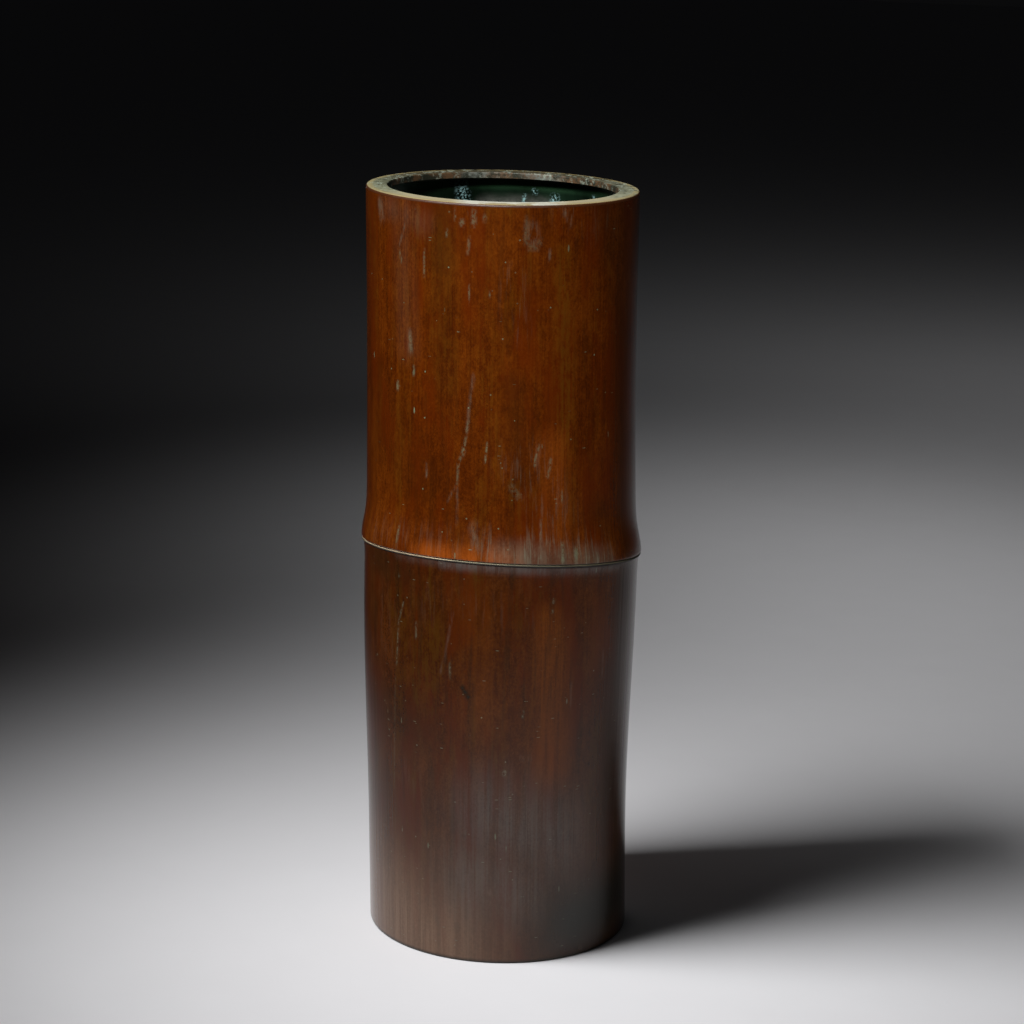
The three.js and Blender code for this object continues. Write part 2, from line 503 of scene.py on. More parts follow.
UPPER_MARKS = (
    *marks(
        Deposit.FILM,
        # Long drip down the middle, with a branch
        (2.4, 0.24, (-11, 217), (-13, 204), (-14, 196)),
        (1.6, 0.26, (-18, 175), (-22, 169)),
        (1.6, 0.24, (-18, 175), (-18, 160)),
        # Left side
        (6.0, 0.42, (-61, 276), (-59, 271)),
        (1.2, 0.5, (-43, 270.5), (-46.5, 263)),
        (4.5, 0.26, (-40.5, 231), (-40, 224)),
        (1.6, 0.4, (-32, 182.5), (-32, 176.5)),
        # Right side
        (8.0, 0.32, (12, 272), (13, 268)),
        (3.4, 0.4, (26, 278), (29, 274)),
        (1.8, 0.4, (19.8, 264), (19.8, 261.5)),
        # Above the node
        (6.0, 0.35, (-11, 160), (-9, 151)),
        (1.7, 0.6, (16.5, 163), (16, 150)),
    ),
    *marks(
        Deposit.VERDIGRIS,
        # Salts in the long drip and beside it
        (1.7, 0.3, (-13, 200), (-15, 189), (-17.5, 183), (-18, 175)),
        (2.4, 0.5, (-15, 189), (-15.5, 187)),
        (1.2, 0.5, (-5.5, 191), (-6.2, 184.5)),
        # Blotches close under the rim
        (3.2, 0.36, (-11.2, 276.5), (-11.2, 273)),
        (1.8, 0.9, (-19, 276.4), (-19, 275.6)),
        (2.4, 0.42, (-16.5, 273.4), (-15.2, 272.2)),
        (2.4, 0.34, (-6.8, 276), (-6.8, 275)),
        (1.6, 0.6, (-22.6, 269), (-22.6, 268.2)),
        (2.0, 0.28, (-13, 267.5), (-13.6, 263)),
        (2.8, 0.2, (9.8, 274.5), (9.6, 268), (11, 265.6), (15, 265.8), (16, 268)),
        # Left side
        (1.3, 0.4, (-46.5, 260), (-44.8, 256.5)),
        (1.6, 0.3, (-33, 262), (-33, 254)),
        (1.2, 0.38, (-13, 250), (-13, 245)),
        (1.0, 0.9, (-6.5, 249.6), (-4.5, 248.4)),
        (3.0, 0.25, (-40.5, 230), (-40, 225)),
        (1.8, 0.5, (-38.5, 218), (-38.5, 215)),
        (2.2, 0.55, (-48, 211), (-48, 209)),
        # Right side
        (1.4, 0.4, (16, 191.5), (14.2, 186)),
        (1.7, 0.6, (14.2, 185), (14.3, 184)),
        (2.4, 0.3, (21, 186), (19.8, 180)),
        (1.3, 0.45, (26, 174), (26, 170.5)),
        (4.0, 0.22, (4.5, 175.5), (7.5, 172)),
        # Above the node
        (3.2, 0.5, (32, 153), (31, 150)),
        (2.2, 0.45, (25.5, 155), (25.2, 149)),
        (1.8, 0.4, (-46, 156), (-46.5, 151)),
    ),
    *marks(
        Deposit.VEIL,
        (26.0, 0.55, (0, 152), (44, 149)),
        (30.0, 0.2, (10, 184), (24, 166)),
        (22.0, 0.12, (-60, 152), (-20, 152)),
        (16.0, 0.14, (5, 254), (7, 234)),
        (30.0, 0.1, (28, 282), (45, 272)),
    ),
    *marks(
        Deposit.BLOOM,
        # Painted sheen on the left side under the rim, and in the hollow just above the node
        (16.0, 0.13, (-56, 276), (-34, 272)),
        (20.0, 0.06, (-46, 280), (-42, 225)),
        (18.0, 0.56, (2, 150), (46, 148)),
    ),
    *marks(
        Deposit.GLOW,
        # Bright orange patina and painted light: on the upward flare above the bead, and a stripe right of
        # the middle
        (15.0, 1.0, (-33, 148), (4, 148)),
        (22.0, 0.4, (22, 192), (24, 160)),
    ),
    *marks(
        Deposit.OLIVE,
        (8.0, 0.8, (5, 176), (5, 171)),
        (14.0, 0.7, (26, 262), (28, 190)),
        (12.0, 0.4, (-22, 268), (-20, 212)),
        (10.0, 0.35, (-8, 232), (-7, 205)),
    ),
    *marks(
        Deposit.UMBER_AND_SHADE,
        # Dark streaks in the patina
        (18.0, 0.22, (-25, 282), (-24, 212)),
        (18.0, 0.45, (-25, 284), (-25, 258)),
        (14.0, 0.4, (5, 215), (8, 178)),
        # Broad painted shade on the left and along the right edge
        (30.0, 0.16, (-58, 205), (-30, 176)),
        (24.0, 0.5, (58, 284), (62, 150)),
        (22.0, 0.5, (46, 286), (52, 262)),
        (22.0, 0.35, (46, 166), (60, 150)),
        (34.0, 0.22, (-60, 188), (-38, 176)),
    ),
    # In the well, on the side that faces the viewer
    *marks(
        Deposit.CRUST,
        (8.5, 1.0, (-160, 275), (-161, 268)),
        (6.5, 1.0, (155.5, 270), (155.5, 265)),
        (2.6, 0.9, (170.5, 270.5), (170.5, 267)),
        (2.8, 0.8, (166, 273), (165, 272.4)),
        (4.0, 0.9, (133.5, 272), (133, 268)),
    ),
    # Painted reflection of a lamp low on the well's far wall
    *marks(Deposit.PAINTED_REFLECTION, (17.0, 1.0, (188, 264), (160, 264))),
)

LOWER_MARKS = (
    *marks(
        Deposit.FILM,
        (1.8, 0.35, (-19, 128), (-22, 112), (-24, 106)),
        (0.8, 0.5, (6, 72), (6, 60)),
        (1.0, 0.4, (10, 77), (15, 77)),
        (0.9, 0.5, (-4, 27), (-1, 27.6)),
        (1.8, 0.35, (32, 103), (32, 95)),
        (1.6, 0.4, (49, 115), (49, 105)),
    ),
    *marks(
        Deposit.VERDIGRIS,
        (1.3, 0.45, (-43, 129), (-46, 120), (-47, 106)),
        (1.2, 0.2, (-48, 100), (-50, 60)),
        (1.6, 0.4, (-36, 122), (-36, 117)),
        (1.8, 0.35, (-20, 109), (-19.8, 105)),
        (1.6, 0.7, (10.8, 93.5), (10.8, 92.8)),
        (1.8, 0.9, (22.5, 134.5), (22.4, 134)),
        (1.4, 0.6, (22, 130), (21.8, 129.4)),
        (1.1, 0.6, (1.5, 71), (4, 71.6)),
    ),
    *marks(
        Deposit.VEIL,
        (26.0, 0.12, (-30, 130), (10, 128)),
        (30.0, 0.06, (56, 128), (62, 112)),
        (26.0, 0.15, (-62, 128), (-48, 112)),
        (30.0, 0.15, (-45, 66), (-32, 54)),
    ),
    *marks(
        Deposit.BLOOM,
        # Painted sheen: the floor's reflection low on the front, and in the cove under the bead
        (56.0, 0.58, (0, 55), (22, 47)),
        (52.0, 0.5, (-10, 32), (6, 30)),
        (7.0, 0.65, (-24, 145.8), (56, 145.8)),
        (6.0, 0.25, (-46, 145.8), (-24, 145.8)),
    ),
    *marks(
        Deposit.GLOW,
        # Bright orange patina and painted light: a stripe right of the middle, and broad patches
        (17.0, 1.0, (21, 128), (22, 120)),
        (26.0, 0.8, (22, 122), (24, 72)),
        (26.0, 0.3, (44, 132), (46, 112)),
        (34.0, 0.3, (-6, 128), (-4, 96)),
    ),
    *marks(
        Deposit.WEAR_AND_LIGHT,
        # Painted light with paler wear, low on the left of the foot where the side lamps fall
        (88.0, 0.8, (-68, 12), (-30, 4)),
        (60.0, 0.25, (-30, 26), (-10, 22)),
    ),
    *marks(
        Deposit.UMBER_AND_SHADE,
        # Small dark spots
        (3.4, 1.0, (-14.5, 101), (-12, 98)),
        (3.0, 0.6, (-27, 16), (-26, 13)),
        (3.0, 0.6, (-17, 14), (-17, 12)),
        # Broad painted shade, on the right down to the foot and on the left
        (36.0, 0.45, (58, 104), (58, 20)),
        (20.0, 0.5, (62, 140), (62, 110)),
        (64.0, 1.0, (36, 14), (72, 18)),
        (34.0, 0.3, (-64, 88), (-34, 84)),
        (24.0, 0.4, (-64, 142), (-44, 140)),
    ),
)


def paint(piece: bpy.types.Object, laid: tuple[Mark, ...], outline: Outline, angle: Array) -> None:
    """Store the strongest cover of each deposit at every point of the side that it lies on.

    Args:
        piece: the piece.
        laid: the marks to lay on it.
        outline: the loop that the piece was turned from.
        angle: angles of its columns.
    """
    along = wrapped(angle - FRONT)[None, :]
    height = outline.points[:, 1:]
    inside = outline.inner[:, None]
    radius = float(outline.points[:, 0].max())
    for deposit in Deposit:
        covers = [mark.cover(along, height, radius) for mark in laid if mark.deposit is deposit]
        strongest = np.max(covers, axis=0) if covers else np.zeros((len(height), len(angle)))
        set_values(piece, deposit.value, strongest * (inside if deposit.in_well else 1 - inside))


# Patterns and node trees


@dataclass(frozen=True)
class Noise:
    """Soft noise around 0.5, drawn out upwards."""

    size: float  # width of its largest lumps
    stretch: float = 1.0  # how many times as tall as wide they are
    detail: float = 4.0  # number of finer layers
    rough: float = 0.55  # strength of each finer layer


class Step(NamedTuple):
    """A smooth step from start at low to end at high; low may lie above high."""

    low: float
    high: float
    start: float = 0.0
    end: float = 1.0


@dataclass(frozen=True)
class Patches:
    """Patches of a colour: a noise, and the step of it from bare to covered."""

    noise: Noise
    step: Step


@dataclass(frozen=True)
class Specks:
    """Scattered specks: the middles of some of the cells of a random net."""

    pitch: float  # width of a cell
    stretch: float  # how many times as tall as wide a cell is
    reach: float  # radius of a speck as a share of its cell
    full: float = 0.6  # share of the specks that are full; the others are fainter
    core: float = 0.5  # full middle of a speck, as a share of its reach


class Graph:
    """A material's node tree, with one short method for each kind of node that the finishes use."""

    def __init__(self, name: str) -> None:
        """Start a material whose tree is empty.

        Args:
            name: the material's name.
        """
        self.material = bpy.data.materials.new(name)
        self.material.use_nodes = True
        self.tree = self.material.node_tree
        self.tree.nodes.clear()

    def node(
        self, kind: str, inputs: dict[str | int, object] | None = None, **settings: object
    ) -> bpy.types.Node:
        """Add a node.

        Args:
            kind: Blender's name of the node.
            inputs: sockets by name or place, each with another node's socket or a plain value.
            **settings: the node's own properties.

        Returns:
            The new node.
        """
        made = self.tree.nodes.new(kind)
        for key, value in settings.items():
            setattr(made, key, value)
        for key, value in (inputs or {}).items():
            if isinstance(value, Socket):
                self.tree.links.new(value, made.inputs[key])
            else:
                made.inputs[key].default_value = value
        return made

    def place(self, stretch: float) -> Socket:
        """Where a pattern is read: the point itself, or its place on an upright cylinder if it is drawn out.

        Args:
            stretch: how many times as tall as wide the pattern is.

        Returns:
            Object coordinates for a stretch of 1, and otherwise the cylinder's.
        """
        coordinates = self.node("ShaderNodeTexCoord").outputs["Object"]
        if stretch == 1.0:
            return coordinates
        point = self.node("ShaderNodeSeparateXYZ", {0: coordinates}).outputs
        x = self.blend([(point["Z"], CULM_LEAN), (point["X"], 1.0)])
        aside = {0: self.math("SUBTRACT", x, FOOT_SHIFT), 1: point["Y"]}
        outward = self.node("ShaderNodeCombineXYZ", aside).outputs[0]
        unit = self.node("ShaderNodeVectorMath", {0: outward}, operation="NORMALIZE").outputs[0]
        height = self.node("ShaderNodeCombineXYZ", {2: self.math("DIVIDE", point["Z"], stretch)}).outputs[0]
        inputs = {0: unit, 1: (PATTERN_RADIUS,) * 3, 2: height}
        return self.node("ShaderNodeVectorMath", inputs, operation="MULTIPLY_ADD").outputs[0]

    def along(self, axis: str) -> Socket:
        """The point's place along one axis, "X", "Y" or "Z"."""
        coordinates = self.node("ShaderNodeTexCoord").outputs["Object"]
        return self.node("ShaderNodeSeparateXYZ", {0: coordinates}).outputs[axis]

    def value(self, name: str) -> Socket:
        """A number that is stored on the piece's points."""
        return self.node("ShaderNodeAttribute", attribute_name=name).outputs["Fac"]

    def painted(self, name: str, share: Socket) -> Socket:
        """A share of what is painted on the points under a name."""
        return self.times(self.value(name), share)

    def noise(self, noise: Noise) -> Socket:
        """Draw a noise."""
        inputs = {"Vector": self.place(noise.stretch), "Scale": 1 / noise.size, "Detail": noise.detail}
        return self.node("ShaderNodeTexNoise", inputs | {"Roughness": noise.rough}).outputs["Fac"]

    def patches(self, patches: Patches) -> Socket:
        """Draw patches: 1 where they cover, 0 where they leave bare."""
        return self.step(self.noise(patches.noise), patches.step)

    def specks(self, specks: Specks, share: float) -> Socket:
        """Draw specks.

        Args:
            specks: their sizes.
            share: share of the cells that hold a speck.

        Returns:
            1 in a speck and 0 elsewhere.
        """
        inputs = {"Vector": self.place(specks.stretch), "Scale": 1 / specks.pitch}
        cells = self.node("ShaderNodeTexVoronoi", inputs).outputs
        chance = self.node("ShaderNodeSeparateColor", {"Color": cells["Color"]}).outputs["Red"]
        chosen = self.step(chance, Step(1 - share, 1 - share * specks.full))
        near = self.step(cells["Distance"], Step(specks.reach, specks.reach * specks.core))
        return self.times(near, chosen)

    def step(self, value: Socket, step: Step) -> Socket:
        """Take a smooth step of a value.

        Args:
            value: the value.
            step: where the step begins and ends, with its results there.

        Returns:
            The stepped value.
        """
        low, high, start, end = step
        if low > high:
            low, high, start, end = high, low, end, start
        inputs = {"Value": value, "From Min": low, "From Max": high, "To Min": start, "To Max": end}
        return self.node("ShaderNodeMapRange", inputs, interpolation_type="SMOOTHSTEP").outputs["Result"]

    def math(self, operation: str, first: Socket | float, second: Socket | float) -> Socket:
        """Join two values by a plain operation."""
        return self.node("ShaderNodeMath", {0: first, 1: second}, operation=operation).outputs[0]

    def times(self, first: Socket, second: Socket | float) -> Socket:
        """Product of two values."""
        return self.math("MULTIPLY", first, second)

    def most(self, first: Socket, second: Socket) -> Socket:
        """The larger of two values."""
        return self.math("MAXIMUM", first, second)

    def rest(self, value: Socket) -> Socket:
        """What a share leaves of 1."""
        return self.math("SUBTRACT", 1.0, value)

    def blend(self, parts: list[tuple[Socket, float]], base: float = 0.0) -> Socket:
        """Weighted sum of values.

        Args:
            parts: values with their weights.
            base: what the sum starts from.

        Returns:
            The sum.
        """
        total: Socket | float = base
        for value, weight in parts:
            inputs = {0: value, 1: weight, 2: total}
            total = self.node("ShaderNodeMath", inputs, operation="MULTIPLY_ADD").outputs[0]
        return total

    def mean(self, values: dict[str, Socket], weights: dict[str, float]) -> Socket:
        """Weighted mean of some of the named values."""
        total = sum(weights.values())
        return self.blend([(values[name], weight / total) for name, weight in weights.items()])

    def ramp(self, value: Socket, places: tuple[float, ...], colours: tuple[Colour, ...]) -> Socket:
        """Colour by a value.

        Args:
            value: the value.
            places: places from 0 to 1.
            colours: the colours at those places.

        Returns:
            The colour.
        """
        made = self.node("ShaderNodeValToRGB", {"Fac": value})
        elements = made.color_ramp.elements
        while len(elements) < len(places):
            elements.new(1.0)
        for element, place, colour in zip(elements, places, colours):
            element.position = place
            element.color = (*colour, 1.0)
        return made.outputs["Color"]

    def over(self, under: Socket | Colour, top: Socket | Colour, share: Socket) -> Socket:
        """Lay one colour over another.

        Args:
            under: the lower colour.
            top: the upper colour.
            share: how much of the upper one shows.

        Returns:
            The mixed colour.
        """
        colours = [value if isinstance(value, Socket) else (*value, 1.0) for value in (under, top)]
        inputs = {0: share, 6: colours[0], 7: colours[1]}
        return self.node("ShaderNodeMix", inputs, data_type="RGBA").outputs[2]

    def layers(self, ground: Socket | Colour, *coats: tuple[Socket | Colour, Socket]) -> Socket:
        """Lay colours over a ground, one after the other.

        Args:
            ground: the lowest colour.
            *coats: the further colours, each with how much of it shows.

        Returns:
            The mixed colour.
        """
        for colour, share in coats:
            ground = self.over(ground, colour, share)
        return ground

    def bump(self, height: Socket, depth: float, normal: Socket | None = None) -> Socket:
        """Fine relief of the surface.

        Args:
            height: the relief, where 1 stands the depth above 0.
            depth: in metres.
            normal: relief that lies under this one.

        Returns:
            The bent normal.
        """
        inputs = {"Strength": 1.0, "Distance": depth, "Height": height}
        if normal is not None:
            inputs["Normal"] = normal
        return self.node("ShaderNodeBump", inputs).outputs["Normal"]

    def finish(self, **inputs: object) -> bpy.types.Material:
        """Close the tree with one surface shader.

        Args:
            **inputs: its sockets, by their names with underscores for spaces.

        Returns:
            The material.
        """
        named = {key.replace("_", " "): value for key, value in inputs.items()}
        shader = self.node("ShaderNodeBsdfPrincipled", named)
        output = self.node("ShaderNodeOutputMaterial")
        self.tree.links.new(shader.outputs["BSDF"], output.inputs["Surface"])
        return self.material


# Finishes


class Finish(Protocol):
    """Anything that builds its own material."""

    def material(self) -> bpy.types.Material:
        """Build the finish."""


@dataclass(frozen=True)
class WellPatina:
    """The well's dark green, lighter under the rim as painted fill light, with blue-green salts and a
    painted grey reflection.
    """

    deep: Colour = (0.0022, 0.0055, 0.0028)
    green: Colour = (0.0060, 0.0160, 0.0080)
    # Painted fill light: a lighter green in the band that the rim shades
    painted_fill_green: Colour = (0.026, 0.072, 0.032)
    crust: Colour = (0.26, 0.44, 0.44)
    # Painted reflection: a dull grey
    painted_reflection: Colour = (0.185, 0.180, 0.160)
    cloud: Noise = Noise(14 * MM, stretch=1.6, detail=6)
    cloud_places: tuple[float, float] = (0.35, 0.65)  # noise of the deep and of the plain green
    painted_fill_rise: Step = Step(272 * MM, 276 * MM)  # heights over which the painted fill light sets in, in the rim's shade
    painted_fill_patch: Step = Step(0.34, 0.60, start=0.45)
    crust_grain: Patches = Patches(Noise(0.9 * MM, detail=3, rough=0.6), Step(0.47, 0.57))
    scattered: Patches = Patches(Noise(7 * MM, detail=8, rough=0.7), Step(0.72, 0.80))
    # Break-up of the painted reflection
    broken_reflection: Patches = Patches(Noise(4 * MM, stretch=0.5, detail=6, rough=0.7), Step(0.36, 0.62, start=0.5))

    def colour(self, graph: Graph) -> tuple[Socket, Socket]:
        """Colour of the well's wall, and how much of it is crust.

        Args:
            graph: the material to draw in.

        Returns:
            The colour and the crust's share.
        """
        cloud = graph.noise(self.cloud)
        under_rim = graph.step(graph.along("Z"), self.painted_fill_rise)
        patches = graph.painted("crust", graph.patches(self.crust_grain))
        crust = graph.most(patches, graph.patches(self.scattered))
        colour = graph.layers(
            graph.ramp(cloud, self.cloud_places, (self.deep, self.green)),
            # Painted fill light under the rim
            (self.painted_fill_green, graph.times(under_rim, graph.step(cloud, self.painted_fill_patch))),
            # Painted reflection where the marks lay it
            (self.painted_reflection, graph.painted("painted_reflection", graph.patches(self.broken_reflection))),
            (self.crust, crust),
        )
        return colour, crust


@dataclass(frozen=True)
class CulmPatina:
    """The outside of a tube: brown patina in upright fibres, with film, salts, dark spots and gloss, and
    painted light, shade and sheen.
    """

    name: str
    shades: Shades  # from deep to bright
    foot_shades: Shades  # shades that take over towards the foot
    foot_rise: Step  # heights over which they take over, going down
    gloss: float  # roughness of the clean patina
    # Bright orange, for patina and for painted light
    glow_and_light: Colour
    olive: Colour
    # Umber: stains, and the colour of painted shade
    umber_and_shade: Colour
    film: Colour
    verdigris: Colour
    # Painted sheen: a grey reflection laid as colour
    painted_sheen: Colour
    rust: Colour
    # Paler brown for painted light and wear
    wear_and_light: Colour = (0.230, 0.138, 0.088)
    rust_share: float = 0.65  # how far the brown turns to red in patches
    olive_share: float = 0.45  # how far it turns to olive in patches
    stain_share: float = 0.25  # how far it turns to umber in streaks
    uprightness: float = 0.8  # strength of the upright fibres
    ior: float = 1.42
    fibre_depth: float = 0.035 * MM
    salt_depth: float = 0.02 * MM
    speck_share: float = 0.4  # share of the net's cells that hold a speck
    scratch_share: float = 0.06
    cloud_rough: float = 0.12  # what clouds, film and salts add to the roughness
    film_rough: float = 0.15
    salt_rough: float = 0.35
    contact_shade_rise: Step = Step(1.8 * MM, 0.0)  # heights over which the foot's edge is darkened with painted contact shade, going down
    level: Step = Step(0.395, 0.625)  # tones of the deep and of the bright shade
    streak: Step = Step(0.42, 0.58)  # where olive shows among the fibres
    glow_and_light_patch: Step = Step(0.36, 0.60, start=0.3)  # how unevenly the painted areas cover
    wear_and_light_patch: Step = Step(0.38, 0.62, start=0.55)
    painted_sheen_patch: Step = Step(0.40, 0.58, start=0.35)
    film_patch: Step = Step(0.38, 0.62)
    strewn_patch: Step = Step(0.40, 0.60, start=0.15, end=0.8)
    rust_patches: Patches = Patches(Noise(11 * MM, stretch=3.5, detail=5, rough=0.65), Step(0.46, 0.62))
    olive_patches: Patches = Patches(Noise(8 * MM, stretch=6), Step(0.5, 0.68))
    stain_streaks: Patches = Patches(Noise(3 * MM, stretch=12), Step(0.52, 0.68))
    veil_threads: Patches = Patches(Noise(1.1 * MM, stretch=14, rough=0.65), Step(0.50, 0.66))
    salt_grain: Patches = Patches(Noise(1.0 * MM, stretch=1.5, detail=5, rough=0.7), Step(0.38, 0.58))
    dots: Specks = Specks(4 * MM, stretch=1.0, reach=0.10)
    dashes: Specks = Specks(5 * MM, stretch=4.0, reach=0.08)
    scratches: Specks = Specks(5 * MM, stretch=0.2, reach=0.17)
    well: WellPatina = WellPatina()

    GRAIN: ClassVar[dict[str, Noise]] = {
        "fibre": Noise(0.7 * MM, stretch=90, detail=3, rough=0.6),
        "hair": Noise(0.32 * MM, stretch=60, detail=2),
        "band": Noise(4 * MM, stretch=14, rough=0.6),
        "mottle": Noise(2.4 * MM, stretch=2.2, detail=6, rough=0.75),
        "cloud": Noise(30 * MM, stretch=1.5, detail=5, rough=0.6),
        "sand": Noise(0.8 * MM, stretch=1.3, detail=3, rough=0.7),
        "drift": Noise(1.4 * MM, stretch=5, detail=5, rough=0.7),
    }
    UPRIGHT_TONE: ClassVar[dict[str, float]] = {"fibre": 0.15, "hair": 0.09}
    OTHER_TONE: ClassVar[dict[str, float]] = {"band": 0.15, "sand": 0.28, "mottle": 0.30, "cloud": 0.27}
    STREAK_TONE: ClassVar[dict[str, float]] = {"fibre": 0.4, "mottle": 0.6}
    UNEVEN_TONE: ClassVar[dict[str, float]] = {"band": 0.5, "fibre": 0.3, "sand": 0.2}
    RELIEF: ClassVar[dict[str, float]] = {"fibre": 0.7, "hair": 0.3}

    def ground(self, graph: Graph, grain: dict[str, Socket]) -> Socket:
        """Brown by tone and height, which turns to rust, to olive and to the painted areas' colours.

        Args:
            graph: the material to draw in.
            grain: the noises that the layers share.

        Returns:
            The colour.
        """
        upright = {name: weight * self.uprightness for name, weight in self.UPRIGHT_TONE.items()}
        level = graph.step(graph.mean(grain, upright | self.OTHER_TONE), self.level)
        streak = graph.step(graph.mean(grain, self.STREAK_TONE), self.streak)
        uneven = graph.mean(grain, self.UNEVEN_TONE)
        near_foot = graph.step(graph.along("Z"), self.foot_rise)
        rusty = graph.times(graph.patches(self.rust_patches), self.rust_share)
        greenish = graph.times(graph.patches(self.olive_patches), self.olive_share)
        stained = graph.times(graph.patches(self.stain_streaks), self.stain_share)
        return graph.layers(
            graph.ramp(level, SHADE_PLACES, self.shades),
            (graph.ramp(level, SHADE_PLACES, self.foot_shades), near_foot),
            (self.rust, rusty),
            (self.olive, graph.times(graph.most(graph.value("olive"), greenish), streak)),
            # Bright orange where the marks lay patina and painted light
            (self.glow_and_light, graph.painted("glow_and_light", graph.step(uneven, self.glow_and_light_patch))),
            # Umber stains, with the broad painted shade that the marks lay
            (self.umber_and_shade, graph.most(graph.value("umber_and_shade"), stained)),
            # Paler brown where the marks lay painted light and wear
            (self.wear_and_light, graph.painted("wear_and_light", graph.step(uneven, self.wear_and_light_patch))),
            # Painted sheen where the marks lay it
            (self.painted_sheen, graph.painted("painted_sheen", graph.step(uneven, self.painted_sheen_patch))),
        )

    def pale_film(self, graph: Graph, grain: dict[str, Socket]) -> Socket:
        """Share of film: painted patches that drift apart, and veils of fine threads.

        Args:
            graph: the material to draw in.
            grain: the noises that the layers share.

        Returns:
            The share.
        """
        veil = graph.painted("veil", graph.patches(self.veil_threads))
        film = graph.painted("film", graph.step(grain["drift"], self.film_patch))
        return graph.most(film, veil)

    def salts(self, graph: Graph, grain: dict[str, Socket]) -> Socket:
        """Share of salts: painted marks in grains, and strewn dots, dashes and scratches.

        Args:
            graph: the material to draw in.
            grain: the noises that the layers share.

        Returns:
            The share.
        """
        painted = graph.painted("verdigris", graph.patches(self.salt_grain))
        strewn = graph.most(
            graph.specks(self.dots, self.speck_share), graph.specks(self.dashes, self.speck_share)
        )
        strewn = graph.most(strewn, graph.specks(self.scratches, self.scratch_share))
        return graph.most(painted, graph.times(strewn, graph.step(grain["drift"], self.strewn_patch)))

    def material(self) -> bpy.types.Material:
        """Build the finish: the ground, the pale deposits, painted contact shade at the foot's edge, and the
        well on the inner side.

        Returns:
            The material.
        """
        graph = Graph(self.name)
        grain = {name: graph.noise(noise) for name, noise in self.GRAIN.items()}
        film = self.pale_film(graph, grain)
        salts = self.salts(graph, grain)
        well, crust = self.well.colour(graph)
        inner = graph.value("inner")
        salted = graph.times(salts, graph.rest(inner))
        lumps = graph.blend([(salted, 1.0), (graph.times(crust, inner), 1.0)])
        fibres = graph.bump(graph.mean(grain, self.RELIEF), self.fibre_depth)
        return graph.finish(
            Base_Color=graph.layers(
                self.ground(graph, grain),
                (self.film, film),
                (self.verdigris, salts),
                # Painted contact shade along the foot's lower edge
                (self.umber_and_shade, graph.step(graph.along("Z"), self.contact_shade_rise)),
                (well, inner),
            ),
            Roughness=graph.blend(
                [(grain["cloud"], self.cloud_rough), (film, self.film_rough), (salted, self.salt_rough)],
                base=self.gloss - self.cloud_rough / 2,
            ),
            Metallic=0.0,
            IOR=self.ior,
            Normal=graph.bump(lumps, self.salt_depth, fibres),
        )


@dataclass(frozen=True)
class BeadBronze:
    """The bead's finish: rubbed bright along its upper side, with a painted highlight that is strongest at
    the left end, and painted shade below.
    """

    name: str = "rubbed_and_highlit_bead"
    bright: Colour = (0.60, 0.48, 0.32)
    grey: Colour = (0.20, 0.185, 0.12)
    # Painted shade on the lower side and the back
    dark: Colour = (0.020, 0.013, 0.008)
    highlit_end: Step = Step(-12 * MM, -30 * MM)  # places along X over which grey gives way to the painted highlight
    cloud: Noise = Noise(6 * MM, detail=6, rough=0.65)
    grain: Noise = Noise(0.8 * MM)
    rubbed_and_highlit_patch: Step = Step(0.34, 0.52, start=0.55)
    metallic: float = 0.5
    rough: float = 0.36
    uneven_rough: float = 0.1  # what clouds and grain each add to the roughness
    grain_depth: float = 0.03 * MM

    def material(self) -> bpy.types.Material:
        """Build the finish.

        Returns:
            The material.
        """
        graph = Graph(self.name)
        cloud = graph.noise(self.cloud)
        grain = graph.noise(self.grain)
        metal = graph.over(self.grey, self.bright, graph.step(graph.along("X"), self.highlit_end))
        rubbed_and_highlit = graph.painted("crest", graph.step(cloud, self.rubbed_and_highlit_patch))
        return graph.finish(
            # Painted shade below; painted highlight and wear above
            Base_Color=graph.over(self.dark, metal, rubbed_and_highlit),
            Roughness=graph.blend([(cloud, self.uneven_rough), (grain, self.uneven_rough)], base=self.rough),
            Metallic=graph.times(rubbed_and_highlit, self.metallic),
            Normal=graph.bump(grain, self.grain_depth),
        )


